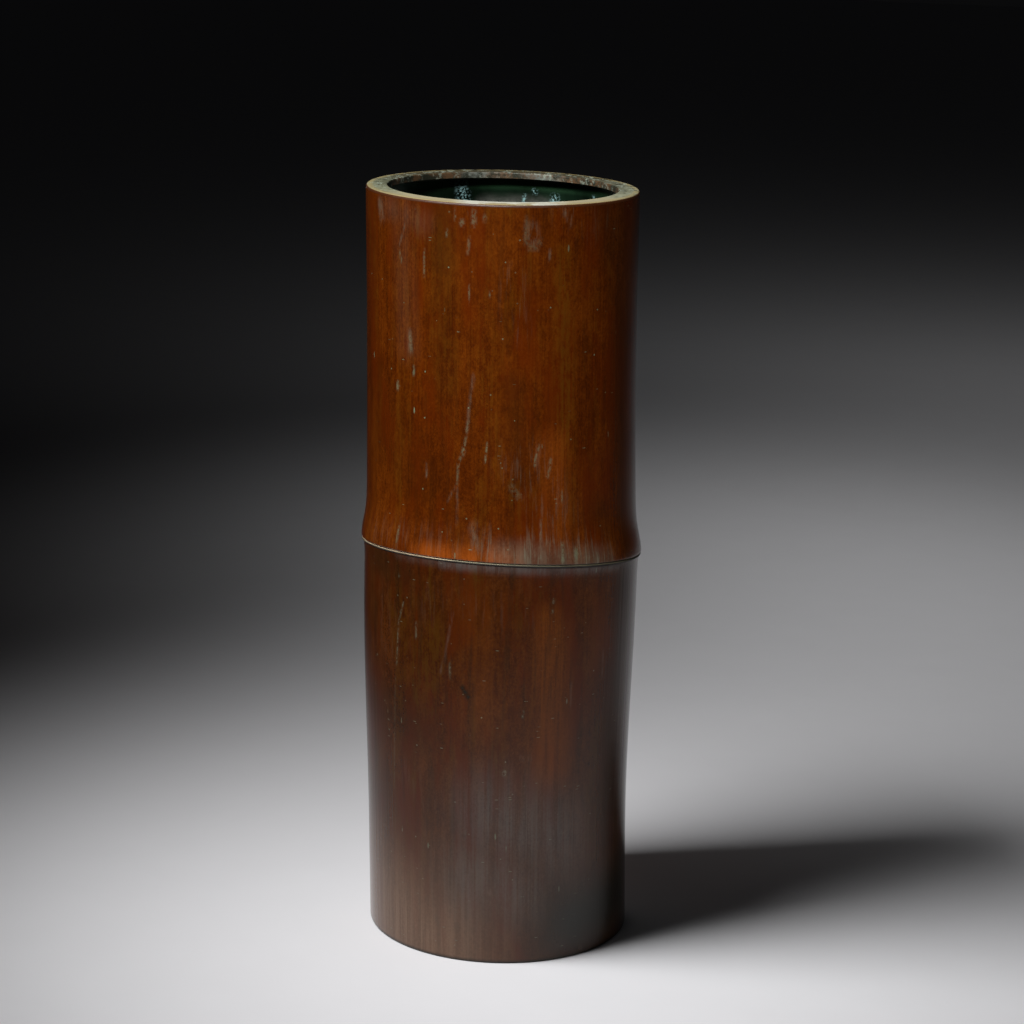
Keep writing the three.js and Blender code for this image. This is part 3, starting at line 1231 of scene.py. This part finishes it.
@dataclass(frozen=True)
class RimBronze:
    """The rim: worn pale in front, mint grey at the sides, brown at the back and dark on its inner face,
    with a painted highlight and a painted reflection on a rubbed stretch near the middle.

    The steps named for the front, the sides and the back are in the place from front to back, 0 to 1.
    """

    name: str = "ground_rim"
    worn: Colour = (0.62, 0.54, 0.335)
    mint: Colour = (0.35, 0.36, 0.225)
    pale_mint: Colour = (0.46, 0.47, 0.315)
    # Rubbed metal with a painted highlight
    rubbed_and_highlit: Colour = (0.88, 0.86, 0.72)
    gold: Colour = (0.60, 0.47, 0.20)
    brown: Colour = (0.115, 0.095, 0.052)
    copper: Colour = (0.140, 0.075, 0.034)
    olive: Colour = (0.030, 0.032, 0.020)
    # Bare metal with a painted reflection, on the inner face
    silver_and_reflection: Colour = (0.16, 0.175, 0.15)
    skirt: Colour = (0.060, 0.016, 0.003)
    salts: Colour = (0.42, 0.48, 0.38)
    cloud: Noise = Noise(9 * MM, detail=7, rough=0.65)
    grain: Noise = Noise(0.8 * MM)
    pitted: Noise = Noise(3 * MM, detail=5, rough=0.75)
    reach: float = 50 * MM  # distance from the middle where the front and the back tone are full
    wander: float = 30 * MM  # how far the tones run into each other
    worn_front: Step = Step(0.30, 0.05)
    dull_sides: Step = Step(0.20, 0.55)
    brown_back: Step = Step(0.68, 0.90)
    crusted_sides: Step = Step(0.12, 0.40)
    rubbed_and_highlit_front: Step = Step(0.22, 0.04)
    rubbed_and_highlit_left: Step = Step(-21 * MM, -13 * MM)  # ends along X of the stretch that is rubbed bare and carries a painted highlight
    rubbed_and_highlit_right: Step = Step(22 * MM, 14 * MM)
    rubbed_and_highlit_patch: Step = Step(0.40, 0.52)
    dull_patch: Step = Step(0.46, 0.57, end=0.6)
    gold_edge: Step = Step(0.25, 0.0, end=0.6)  # share of the rim's width
    silver_and_reflection_patch: Step = Step(0.40, 0.58)
    pit: Step = Step(0.48, 0.40, end=0.85)
    face_salts: Step = Step(0.0, 1.0, start=1.0, end=0.5)  # fewer salts on the inner face
    coppery: Patches = Patches(Noise(6 * MM, detail=6, rough=0.7), Step(0.42, 0.58))
    flecks: Patches = Patches(Noise(2.6 * MM, detail=5, rough=0.75), Step(0.54, 0.61))
    metallic: float = 0.3
    rough: float = 0.38
    dull_rough: float = 0.2  # what dull patches, grain and salts add to the roughness
    grain_rough: float = 0.1
    salt_rough: float = 0.3
    relief_depth: float = 0.04 * MM

    DULL_TONE: ClassVar[dict[str, float]] = {"cloud": 0.3, "pitted": 0.6, "inward": 0.12}
    RELIEF: ClassVar[dict[str, float]] = {"grain": 0.6, "salts": 0.4}

    def material(self) -> bpy.types.Material:
        """Build the finish: the top from front to back, then the inner face, pits, salts and the skirt.

        Returns:
            The material.
        """
        graph = Graph(self.name)
        cloud, pitted = graph.noise(self.cloud), graph.noise(self.pitted)
        grain, inward = graph.noise(self.grain), graph.value("inward")
        tones = {"cloud": cloud, "pitted": pitted, "grain": grain, "inward": inward}
        half = self.wander / 2
        wandering = graph.blend([(graph.along("Y"), 1.0), (cloud, self.wander)])
        place = graph.step(wandering, Step(half - self.reach, half + self.reach))
        x = graph.along("X")
        dull = graph.blend([(tones[name], weight) for name, weight in self.DULL_TONE.items()])
        dull = graph.step(dull, self.dull_patch)
        # The stretch near the middle that carries the painted highlight and reflection
        rubbed_and_highlit_stretch = graph.times(graph.step(x, self.rubbed_and_highlit_left), graph.step(x, self.rubbed_and_highlit_right))
        rubbed_and_highlit_stretch = graph.times(rubbed_and_highlit_stretch, graph.step(cloud, self.rubbed_and_highlit_patch))
        face = graph.layers(
            self.olive,
            (self.copper, graph.patches(self.coppery)),
            (self.silver_and_reflection, graph.times(rubbed_and_highlit_stretch, graph.step(pitted, self.silver_and_reflection_patch))),
        )
        facing, skirt = graph.value("face"), graph.value("skirt")
        crusted = graph.step(place, self.crusted_sides)
        exposed = graph.times(crusted, graph.step(facing, self.face_salts))
        salts = graph.times(graph.patches(self.flecks), exposed)
        tones["salts"] = salts
        return graph.finish(
            Base_Color=graph.layers(
                self.mint,
                (self.pale_mint, graph.step(x, Step(-self.reach / 2, self.reach / 2))),
                (self.worn, graph.step(place, self.worn_front)),
                (self.olive, graph.times(dull, graph.step(place, self.dull_sides))),
                (self.brown, graph.step(place, self.brown_back)),
                (self.gold, graph.step(inward, self.gold_edge)),
                # Painted highlight on the rubbed stretch in front
                (self.rubbed_and_highlit, graph.times(rubbed_and_highlit_stretch, graph.step(place, self.rubbed_and_highlit_front))),
                (face, facing),
                (self.olive, graph.times(graph.step(pitted, self.pit), crusted)),
                (self.salts, salts),
                (self.skirt, skirt),
            ),
            Roughness=graph.blend(
                [(dull, self.dull_rough), (grain, self.grain_rough), (salts, self.salt_rough)],
                base=self.rough,
            ),
            Metallic=graph.times(graph.rest(skirt), self.metallic),
            Normal=graph.bump(graph.mean(tones, self.RELIEF), self.relief_depth),
        )


@dataclass(frozen=True)
class DullMetal:
    """Metal that is never handled: solder, and the plate in the foot, with stains of standing water."""

    name: str
    clean: Colour
    stain: Colour
    metallic: float
    rough: float = 0.5
    cloud: Noise = Noise(16 * MM, detail=7, rough=0.65)
    grain: Noise = Noise(1.1 * MM, detail=5)
    stain_patch: Step = Step(0.42, 0.60)
    stain_rough: float = 0.15  # what stains and grain add to the roughness
    grain_rough: float = 0.1
    grain_depth: float = 0.06 * MM

    STAIN_TONE: ClassVar[dict[str, float]] = {"cloud": 0.8, "grain": 0.2}

    def material(self) -> bpy.types.Material:
        """Build the finish.

        Returns:
            The material.
        """
        graph = Graph(self.name)
        tones = {"cloud": graph.noise(self.cloud), "grain": graph.noise(self.grain)}
        stained = graph.step(graph.mean(tones, self.STAIN_TONE), self.stain_patch)
        return graph.finish(
            Base_Color=graph.over(self.clean, self.stain, stained),
            Roughness=graph.blend(
                [(stained, self.stain_rough), (tones["grain"], self.grain_rough)], base=self.rough
            ),
            Metallic=self.metallic,
            Normal=graph.bump(tones["grain"], self.grain_depth),
        )


UPPER_PATINA = CulmPatina(
    name="orange_brown_patina",
    shades=((0.042, 0.0070, 0.0003), (0.082, 0.0155, 0.0006), (0.128, 0.028, 0.0014)),
    foot_shades=((0.060, 0.0105, 0.0006), (0.110, 0.0220, 0.0016), (0.165, 0.041, 0.0040)),
    foot_rise=Step(175 * MM, 150 * MM),
    gloss=0.20,
    glow_and_light=(0.27, 0.058, 0.006),
    olive=(0.090, 0.030, 0.002),
    umber_and_shade=(0.028, 0.009, 0.0015),
    film=(0.152, 0.140, 0.096),
    verdigris=(0.150, 0.190, 0.110),
    painted_sheen=(0.135, 0.116, 0.083),
    rust=(0.084, 0.0115, 0.0003),
)
LOWER_PATINA = CulmPatina(
    name="dark_umber_patina",
    shades=((0.031, 0.0070, 0.0012), (0.055, 0.0140, 0.0024), (0.082, 0.023, 0.0045)),
    foot_shades=((0.036, 0.0105, 0.0026), (0.054, 0.0170, 0.0045), (0.074, 0.025, 0.0075)),
    foot_rise=Step(100 * MM, 40 * MM),
    gloss=0.18,
    glow_and_light=(0.125, 0.032, 0.0032),
    olive=(0.055, 0.020, 0.0020),
    umber_and_shade=(0.010, 0.008, 0.004),
    film=(0.115, 0.070, 0.050),
    verdigris=(0.115, 0.130, 0.085),
    painted_sheen=(0.096, 0.086, 0.079),
    rust=(0.060, 0.0100, 0.0010),
    rust_share=0.8,
    olive_share=0.75,
    stain_share=0.3,
    uprightness=0.25,
    scratch_share=0.13,
    fibre_depth=0.03 * MM,
)
BEAD_BRONZE = BeadBronze()
RIM_BRONZE = RimBronze()
PLATE_PATINA = DullMetal(
    name="water_stained_plate", clean=(0.05, 0.05, 0.03), stain=(0.02, 0.035, 0.022), metallic=0.4
)
SOLDER_GREY = DullMetal(
    name="dull_solder", clean=(0.16, 0.16, 0.14), stain=(0.05, 0.065, 0.05), metallic=0.6
)


# Pieces


def settle(piece: bpy.types.Object, node: str, material: bpy.types.Material) -> bpy.types.Object:
    """Dress a finished piece and set it in the frame in place of its node.

    Args:
        piece: the piece.
        node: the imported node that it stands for.
        material: its finish.

    Returns:
        The piece.
    """
    piece.data.materials.append(material)
    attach(piece, "root")
    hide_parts(node)
    LOG.info("%s: %d faces in place of %s", piece.name, len(piece.data.polygons), node)
    return piece


@dataclass(kw_only=True)
class TurnedPiece:
    """A piece that is one closed outline carried round the culm, uneven on its weathered side."""

    culm: Culm
    name: str
    node: str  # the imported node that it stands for
    slot: str  # name of the slot of its finish
    finish: Finish
    flutes: Flutes
    columns: int

    def outline(self) -> Outline:
        """The loop that the piece is turned from, which each kind of piece gives."""
        raise NotImplementedError

    def uneven_rows(self, outline: Outline) -> Array:
        """Share of the unevenness that each row of the grid takes."""
        return 1 - outline.inner[:, None]

    def mark(self, piece: bpy.types.Object, outline: Outline, angle: Array) -> None:
        """Store on the points what the finish reads there, which a plain piece has no need of."""

    def build(self) -> bpy.types.Object:
        """Turn the outline, then mark, dress and settle the piece.

        Returns:
            The piece.
        """
        outline = self.outline()
        angle = columns_round(self.columns)
        relief = self.flutes.relief(angle, outline.points[:, 1]) * self.uneven_rows(outline)
        piece = turned(self.name, self.culm, outline, angle, relief)
        self.mark(piece, outline, angle)
        return settle(piece, self.node, self.finish.material())


@dataclass(kw_only=True)
class Internode(TurnedPiece):
    """A tube of the culm, with painted marks."""

    marks: tuple[Mark, ...]
    columns: int = 800
    crowding: float = 1.25  # power by which the outside's rows crowd towards the node

    def mark(self, piece: bpy.types.Object, outline: Outline, angle: Array) -> None:
        """Paint the tube's marks on its points."""
        paint(piece, self.marks, outline, angle)


@dataclass(kw_only=True)
class UpperInternode(Internode):
    """The upper tube, which flares to a rounded shoulder over the node."""

    name: str = "upper_internode"
    node: str = "upper_culm"
    slot: str = "upper_bronze"
    finish: Finish = UPPER_PATINA
    flutes: Flutes = Flutes(seed=11)
    marks: tuple[Mark, ...] = UPPER_MARKS
    outside_rows: int = 84
    mouth_rows: int = 15  # rows of the bore close under the rim
    inside_rows: int = 13
    mouth_depth: float = 14 * MM

    def outline(self) -> Outline:
        """Loop of the wall: under the shoulder, up the outside, over the top, down the bore and its socket.

        Returns:
            The loop.
        """
        culm = self.culm
        shoulder = culm.radius + culm.shoulder_proud
        edge = arc(shoulder - culm.shoulder_round, culm.shoulder_height, culm.shoulder_round, -90, 0)
        share = np.linspace(0, 1, self.outside_rows)
        z = culm.shoulder_height + (culm.rim_seat - culm.shoulder_height) * share**self.crowding
        outside = np.stack([culm.upper_radius(z), z], axis=1)
        seen_end = culm.rim_seat - self.mouth_depth
        z = np.concatenate([
            np.linspace(culm.rim_seat, seen_end, self.mouth_rows),
            np.linspace(seen_end, culm.lap_top, self.inside_rows),
        ])
        bore = np.stack([culm.upper_radius(z) - culm.wall, z], axis=1)
        inner = culm.socket_radius
        socket = np.linspace((inner, culm.lap_top), (inner, culm.upper_bottom), SIDE_ROWS)
        underside = np.linspace(socket[-1], edge[0], LEDGE_ROWS)[1:-1]
        return Outline.joined((edge, 0), (outside, 0), (bore, 1), (socket, 1), (underside, 0))


@dataclass(kw_only=True)
class LowerInternode(Internode):
    """The lower tube, which swells from the foot to the node and ends in a neck inside the upper tube."""

    name: str = "lower_internode"
    node: str = "lower_culm"
    slot: str = "lower_bronze"
    finish: Finish = LOWER_PATINA
    flutes: Flutes = Flutes(seed=5)
    marks: tuple[Mark, ...] = LOWER_MARKS
    outside_rows: int = 88
    inside_rows: int = 18
    neck_wall: float = 1.8 * MM
    neck_taper: float = 5 * MM
    foot_round: float = 0.6 * MM
    plate_top: float = 4.5 * MM
    rebate_share: float = 0.45

    @property
    def rebate_radius(self) -> float:
        """Inside radius of the foot, where the plate is seated."""
        return float(self.culm.lower_radius(0)) - self.culm.wall * (1 - self.rebate_share)

    def outline(self) -> Outline:
        """Loop of the wall: round the foot, up the outside, round the neck, down the bore to the seat.

        Returns:
            The loop.
        """
        culm = self.culm
        foot = float(culm.lower_radius(0))
        edge = arc(foot - self.foot_round, self.foot_round, self.foot_round, -90, 0)
        share = np.linspace(0, 1, self.outside_rows)
        z = culm.lower_top - (culm.lower_top - self.foot_round) * (1 - share) ** self.crowding
        outside = np.stack([culm.lower_radius(z) + culm.cove(z), z], axis=1)
        neck = culm.socket_radius - culm.fit_gap
        neck_bore = neck - self.neck_wall
        ledge = np.linspace(outside[-1], (neck, culm.lower_top), LEDGE_ROWS)[1:]
        neck_outside = np.linspace((neck, culm.lower_top), (neck, culm.lap_top), SIDE_ROWS)
        neck_inside = np.linspace((neck_bore, culm.lap_top), (neck_bore, culm.lower_top), SIDE_ROWS)
        z = np.linspace(culm.lower_top - self.neck_taper, self.plate_top, self.inside_rows)
        bore = np.stack([culm.lower_radius(z) - culm.wall, z], axis=1)
        seat = np.linspace((self.rebate_radius, self.plate_top), (self.rebate_radius, 0), SIDE_ROWS)
        return Outline.joined(
            (edge, 0), (outside, 0), (ledge, 0), (neck_outside, 1), (neck_inside, 1), (bore, 1), (seat, 1)
        )


@dataclass(kw_only=True)
class NodeBead(TurnedPiece):
    """The bead between the tubes: a flat ring round the neck with a half-round nose."""

    name: str = "node_bead"
    node: str = "node_ring"
    slot: str = "bead_bronze"
    finish: Finish = BEAD_BRONZE
    flutes: Flutes = Flutes(seed=3, depth=0.012 * MM, unevenness=0.05 * MM, coarsest=12, finest=90, waves=30)
    columns: int = 720
    nose_rows: int = 13
    proud: float = 1.1 * MM
    crest_start: float = -0.1  # height where the rubbed and highlit side begins, as a share of the nose's radius
    crest_full: float = 0.6

    def outline(self) -> Outline:
        """Loop of the ring: round the nose and down the inside.

        Returns:
            The loop.
        """
        culm = self.culm
        nose = culm.bead_height / 2
        rounded = arc(culm.radius + self.proud - nose, culm.node_height, nose, -90, 90, self.nose_rows)
        inner = culm.socket_radius
        back = np.linspace((inner, culm.node_height + nose), (inner, culm.node_height - nose), SIDE_ROWS)
        return Outline.joined((rounded, 0), (back, 1))

    def mark(self, piece: bpy.types.Object, outline: Outline, angle: Array) -> None:
        """Store how far each point lies on the upper side, which is rubbed and carries a painted highlight.

        Args:
            piece: the ring.
            outline: the loop that it was turned from.
            angle: angles of its columns.
        """
        nose = self.culm.bead_height / 2
        start = self.culm.node_height + nose * self.crest_start
        full = self.culm.node_height + nose * self.crest_full
        set_rows(piece, "crest", smooth(start, full, outline.points[:, 1]))


@dataclass(kw_only=True)
class RimRing(TurnedPiece):
    """The flat ring around the mouth: it lies on the wall, drops into the bore, and narrows the mouth."""

    name: str = RIM_NAME
    node: str = "rim_ring"
    slot: str = "rim_bronze"
    finish: Finish = RIM_BRONZE
    flutes: Flutes = Flutes(seed=8, depth=0.014 * MM, unevenness=0.08 * MM, coarsest=9, finest=70, waves=30)
    columns: int = 720
    flat_rows: int = 10
    width: float = 7.8 * MM
    thickness: float = 2.2 * MM
    outer_round: float = 0.8 * MM
    inner_round: float = 0.5 * MM
    skirt_drop: float = 0.03 * MM  # depth below the top where the wall's patina starts to run over the edge
    skirt_fade: float = 0.15 * MM
    face_full: float = 1 / 3  # share of the inner rounding from which the inner face is full

    @property
    def mouth(self) -> float:
        """Radius of the mouth."""
        return self.culm.rim_radius - self.width

    def outline(self) -> Outline:
        """Loop of the ring: out along its seat, round the outer edge, in over the top, down and out below.

        Returns:
            The loop.
        """
        culm, mouth, top = self.culm, self.mouth, self.culm.height
        register = culm.mouth_bore - culm.fit_gap
        underside = top - self.thickness
        seat = np.linspace((register, culm.rim_seat), (culm.rim_radius, culm.rim_seat), SIDE_ROWS)
        outer = arc(culm.rim_radius - self.outer_round, top - self.outer_round, self.outer_round, 0, 90)
        inner = arc(mouth + self.inner_round, top - self.inner_round, self.inner_round, 90, 180)
        flat = np.linspace(outer[-1], inner[0], self.flat_rows)[1:-1]
        face = np.linspace(inner[-1], (mouth, underside), LEDGE_ROWS)[1:]
        below = np.linspace((mouth, underside), (register, underside), LEDGE_ROWS)[1:]
        return Outline.joined((seat, 0), (outer, 0), (flat, 0), (inner, 0), (face, 0), (below, 1))

    def mark(self, piece: bpy.types.Object, outline: Outline, angle: Array) -> None:
        """Store which points lie on the skirt and on the inner face, and how far in from the outer edge.

        Args:
            piece: the ring.
            outline: the loop that it was turned from.
            angle: angles of its columns.
        """
        radius, height = outline.points.T
        edge = self.culm.rim_radius - self.outer_round
        inner_edge = self.mouth + self.inner_round
        skirt = smooth(self.skirt_drop, self.skirt_drop + self.skirt_fade, self.culm.height - height)
        set_rows(piece, "skirt", skirt * (radius > edge))
        set_rows(piece, "face", smooth(inner_edge, self.mouth + self.inner_round * self.face_full, radius))
        set_rows(piece, "inward", smooth(edge, inner_edge, radius))


@dataclass(kw_only=True)
class SolderRun(TurnedPiece):
    """A run of solder in the corner between a round wall and a flat face, hollow-faced and lumpy."""

    slot: str = "solder"
    finish: Finish = SOLDER_GREY
    flutes: Flutes = Flutes(seed=21, depth=0.05 * MM, unevenness=0.12 * MM, coarsest=5, finest=60, waves=24)
    columns: int = 360
    bore: float  # radius of the wall
    face: float  # height of the flat face
    leg: float  # height of the run, below zero where it hangs under the face
    slope_rows: int = 9
    hollow: float = 0.18  # depth of the hollow face, as a share of the leg

    @property
    def wall_radius(self) -> float:
        """Radius of the side that lies against the wall."""
        return self.bore - self.culm.fit_gap

    def outline(self) -> Outline:
        """Loop of the run: the corner's two straight sides and a slope that sags towards the corner.

        Returns:
            The loop.
        """
        reach = abs(self.leg)
        share = np.linspace(0, 1, self.slope_rows)
        sag = self.hollow * np.sin(math.pi * share)
        radius = self.wall_radius - reach * share + reach * sag
        slope = np.stack([radius, self.face + self.leg * (1 - share - sag)], axis=1)
        points = np.concatenate([slope, [[self.wall_radius, self.face]]])
        if self.leg < 0:
            points = points[::-1]
        return Outline(points, np.ones(len(points)))

    def uneven_rows(self, outline: Outline) -> Array:
        """Full unevenness on rows that touch neither the wall nor the flat face, and none on the others."""
        off_wall = outline.points[:, :1] < self.wall_radius - SAME_POINT
        return off_wall & (np.abs(outline.points[:, 1:] - self.face) > SAME_POINT)


@dataclass(kw_only=True)
class BasePlate:
    """The disc that closes the foot, a little dished on its underside."""

    culm: Culm
    radius: float
    columns: int = 240
    recess: float = 2 * MM
    thickness: float = 2.5 * MM
    dish: float = 0.25 * MM
    edge_round: float = 0.25 * MM
    edge_rows: int = 5
    face_rows: int = 40

    def build(self) -> bpy.types.Object:
        """Make the disc: two faces of rings that close in a point, joined by a rounded edge.

        Returns:
            The piece.
        """
        low, high, bend = self.recess, self.recess + self.thickness, self.edge_round
        reach = np.linspace(self.radius - bend, 0, self.face_rows)[:-1]
        sag = self.dish * (1 - (reach / self.radius) ** 2)
        under = np.stack([reach, low + sag], axis=1)[::-1]
        over = np.stack([reach, np.full_like(reach, high)], axis=1)
        edge = np.concatenate([
            arc(self.radius - bend, low + bend, bend, -90, 0, self.edge_rows)[1:],
            arc(self.radius - bend, high - bend, bend, 0, 90, self.edge_rows)[:-1],
        ])
        profile = np.concatenate([under, edge, over])
        angle = columns_round(self.columns)
        radius, height = profile[:, :1], np.repeat(profile[:, 1:], self.columns, axis=1)
        rings = self.culm.grow(radius * np.cos(angle), radius * np.sin(angle), height).reshape(-1, 3)
        middles = self.culm.grow(np.zeros(2), np.zeros(2), np.array([low + self.dish, high]))
        faces = [
            grid_faces(len(profile), self.columns, closed=False),
            fan_faces(len(rings), 0, self.columns, up=False),
            fan_faces(len(rings) + 1, len(rings) - self.columns, self.columns, up=True),
        ]
        piece = mesh_object("foot_plate", np.concatenate([rings, middles]), faces)
        return settle(piece, "base_plate", PLATE_PATINA.material())


# Studio


class Lit(Enum):
    """What a lamp lights."""

    FLOOR = "floor"
    VESSEL = "vessel"
    WALLS = "walls"  # the vessel without its rim


@dataclass(frozen=True)
class SoftBox:
    """A soft lamp with a grid: where it hangs as seen from the foot, its aim and what it lights."""

    name: str
    lit: Lit
    azimuth: float  # degrees round from the viewer's side, towards +X
    elevation: float  # degrees above level
    distance: float
    aim: tuple[float, float, float]
    width: float
    power: float
    spread: float  # degrees

    def build(self, receivers: list[bpy.types.Object]) -> None:
        """Hang the lamp.

        Args:
            receivers: the objects that it lights; all others only cast their shadows.
        """
        lamp = bpy.data.lights.new(self.name, "AREA")
        lamp.shape = "SQUARE"
        lamp.size = self.width
        lamp.energy = self.power
        lamp.spread = math.radians(self.spread)
        turn, rise = math.radians(self.azimuth), math.radians(self.elevation)
        away = Vector((math.sin(turn) * math.cos(rise), -math.cos(turn) * math.cos(rise), math.sin(rise)))
        holder = bpy.data.objects.new(self.name, lamp)
        holder.location = self.distance * away
        holder.rotation_euler = (Vector(self.aim) - holder.location).to_track_quat("-Z", "Y").to_euler()
        bpy.context.scene.collection.objects.link(holder)
        lit = bpy.data.collections.new(self.name + "_receivers")
        for receiver in receivers:
            lit.objects.link(receiver)
        holder.light_linking.receiver_collection = lit


@dataclass(frozen=True)
class PaleFloor:
    """The plain floor: a round sheet with a faint grain."""

    colour: Colour = (0.80, 0.795, 0.815)
    shade: float = 0.96  # share of the colour in the darker clouds
    radius: float = 6.0
    middle: float = 0.02  # radius of the innermost ring
    rings: int = 40
    columns: int = 96
    cloud: Noise = Noise(30 * MM)
    grain: Noise = Noise(1.2 * MM, detail=3)
    grain_depth: float = 0.03 * MM
    rough: float = 0.85

    def material(self) -> bpy.types.Material:
        """Build the finish.

        Returns:
            The material.
        """
        graph = Graph("pale_floor")
        shaded = tuple(self.shade * part for part in self.colour)
        return graph.finish(
            Base_Color=graph.over(self.colour, shaded, graph.noise(self.cloud)),
            Roughness=self.rough,
            Normal=graph.bump(graph.noise(self.grain), self.grain_depth),
        )

    def build(self) -> bpy.types.Object:
        """Make the sheet: rings whose radii grow evenly in their logarithm, closed in the middle.

        Returns:
            The floor.
        """
        angle = np.arange(self.columns) * 2 * math.pi / self.columns
        radius = np.geomspace(self.middle, self.radius, self.rings)[:, None]
        flat = np.zeros((self.rings, self.columns))
        points = np.stack([radius * np.cos(angle), radius * np.sin(angle), flat], axis=-1).reshape(-1, 3)
        outer = grid_faces(self.rings, self.columns, closed=False)[:, ::-1]
        inner = fan_faces(len(points), 0, self.columns, up=True)
        floor = mesh_object("floor", np.concatenate([points, np.zeros((1, 3))]), [outer, inner])
        floor.data.materials.append(self.material())
        return floor


@dataclass(frozen=True)
class Studio:
    """A pale floor, soft lamps, a dim room and the photograph's camera."""

    ground: PaleFloor = PaleFloor()
    room: Colour = (0.003, 0.003, 0.0032)
    lens: float = 98.13
    sensor: float = 36.0
    camera_place: tuple[float, float, float] = (0.00265, -1.00558, 0.40861)
    pitch: float = 0.2432  # radians below level
    yaw: float = 0.0012
    roll: float = -0.028
    lamps: tuple[SoftBox, ...] = (
        SoftBox(
            "key", Lit.FLOOR, azimuth=-64.4, elevation=63.1, distance=0.681,
            aim=(0.110, -0.028, 0.0), width=0.230, power=0.845, spread=68.0,
        ),
        SoftBox(
            "backdrop", Lit.FLOOR, azimuth=151.7, elevation=61.1, distance=1.298,
            aim=(0.210, 0.511, 0.0), width=0.40, power=0.207, spread=35.9,
        ),
        SoftBox(
            "distance", Lit.FLOOR, azimuth=157.3, elevation=30.9, distance=1.163,
            aim=(0.529, 1.139, 0.0), width=0.30, power=0.236, spread=138.4,
        ),
        SoftBox(
            "side", Lit.VESSEL, azimuth=-52.0, elevation=45.0, distance=1.25,
            aim=(0.0, 0.0, 0.19), width=0.30, power=0.285, spread=26.0,
        ),
        SoftBox(
            "front", Lit.VESSEL, azimuth=-12.0, elevation=46.0, distance=1.35,
            aim=(0.0, 0.0, 0.22), width=0.24, power=0.235, spread=18.0,
        ),
        SoftBox(
            "back", Lit.WALLS, azimuth=180.0, elevation=40.0, distance=1.20,
            aim=(0.0, 0.0, 0.14), width=0.40, power=1.5, spread=60.0,
        ),
    )

    def build(self, vessel: list[bpy.types.Object]) -> None:
        """Set up the floor, the lamps, the room and the camera.

        Args:
            vessel: the pieces that stand in the studio.
        """
        walls = [piece for piece in vessel if piece.name != RIM_NAME]
        receivers = {Lit.FLOOR: [self.ground.build()], Lit.VESSEL: vessel, Lit.WALLS: walls}
        for lamp in self.lamps:
            lamp.build(receivers[lamp.lit])
        self.dim_room()
        self.camera()

    def dim_room(self) -> None:
        """Set a weak even light from all round."""
        world = bpy.data.worlds.new("dim_room")
        world.use_nodes = True
        world.node_tree.nodes["Background"].inputs["Color"].default_value = (*self.room, 1.0)
        bpy.context.scene.world = world

    def camera(self) -> None:
        """Set the photograph's camera: forward by yaw and pitch, then rolled about that line."""
        forward = Vector((
            math.sin(self.yaw) * math.cos(self.pitch),
            math.cos(self.yaw) * math.cos(self.pitch),
            -math.sin(self.pitch),
        ))
        level = forward.cross(Vector((0, 0, 1))).normalized()
        down = forward.cross(level)
        right = math.cos(self.roll) * level + math.sin(self.roll) * down
        up = math.sin(self.roll) * level - math.cos(self.roll) * down
        lens = bpy.data.cameras.new("camera")
        lens.lens = self.lens
        lens.sensor_width = self.sensor
        holder = bpy.data.objects.new("camera", lens)
        turn = Matrix((right, up, -forward)).transposed().to_4x4()
        holder.matrix_world = Matrix.Translation(self.camera_place) @ turn
        bpy.context.scene.collection.objects.link(holder)
        bpy.context.scene.camera = holder
        bpy.context.scene.view_settings.view_transform = "Standard"


def main() -> None:
    """Build the vessel from the foot up, then the studio."""
    logging.basicConfig(level=logging.INFO, format="%(message)s")
    culm = Culm.measured()
    lower = LowerInternode(culm=culm)
    rim = RimRing(culm=culm)
    plate = BasePlate(culm=culm, radius=lower.rebate_radius - culm.fit_gap)
    runs = {
        "rim_solder": (culm.mouth_bore, culm.height - rim.thickness, -SOLDER_LEG),
        "node_solder": (culm.socket_radius, culm.lap_top + culm.seat_gap, SOLDER_LEG),
        "base_solder": (lower.rebate_radius, plate.recess, SOLDER_STANDOFF - plate.recess),
    }
    solder = [
        SolderRun(culm=culm, name=node + "_run", node=node, bore=bore, face=face, leg=leg)
        for node, (bore, face, leg) in runs.items()
    ]
    parts = (lower, UpperInternode(culm=culm), NodeBead(culm=culm), rim, plate, *solder)
    Studio().build([part.build() for part in parts])


if __name__ == "__main__":
    main()
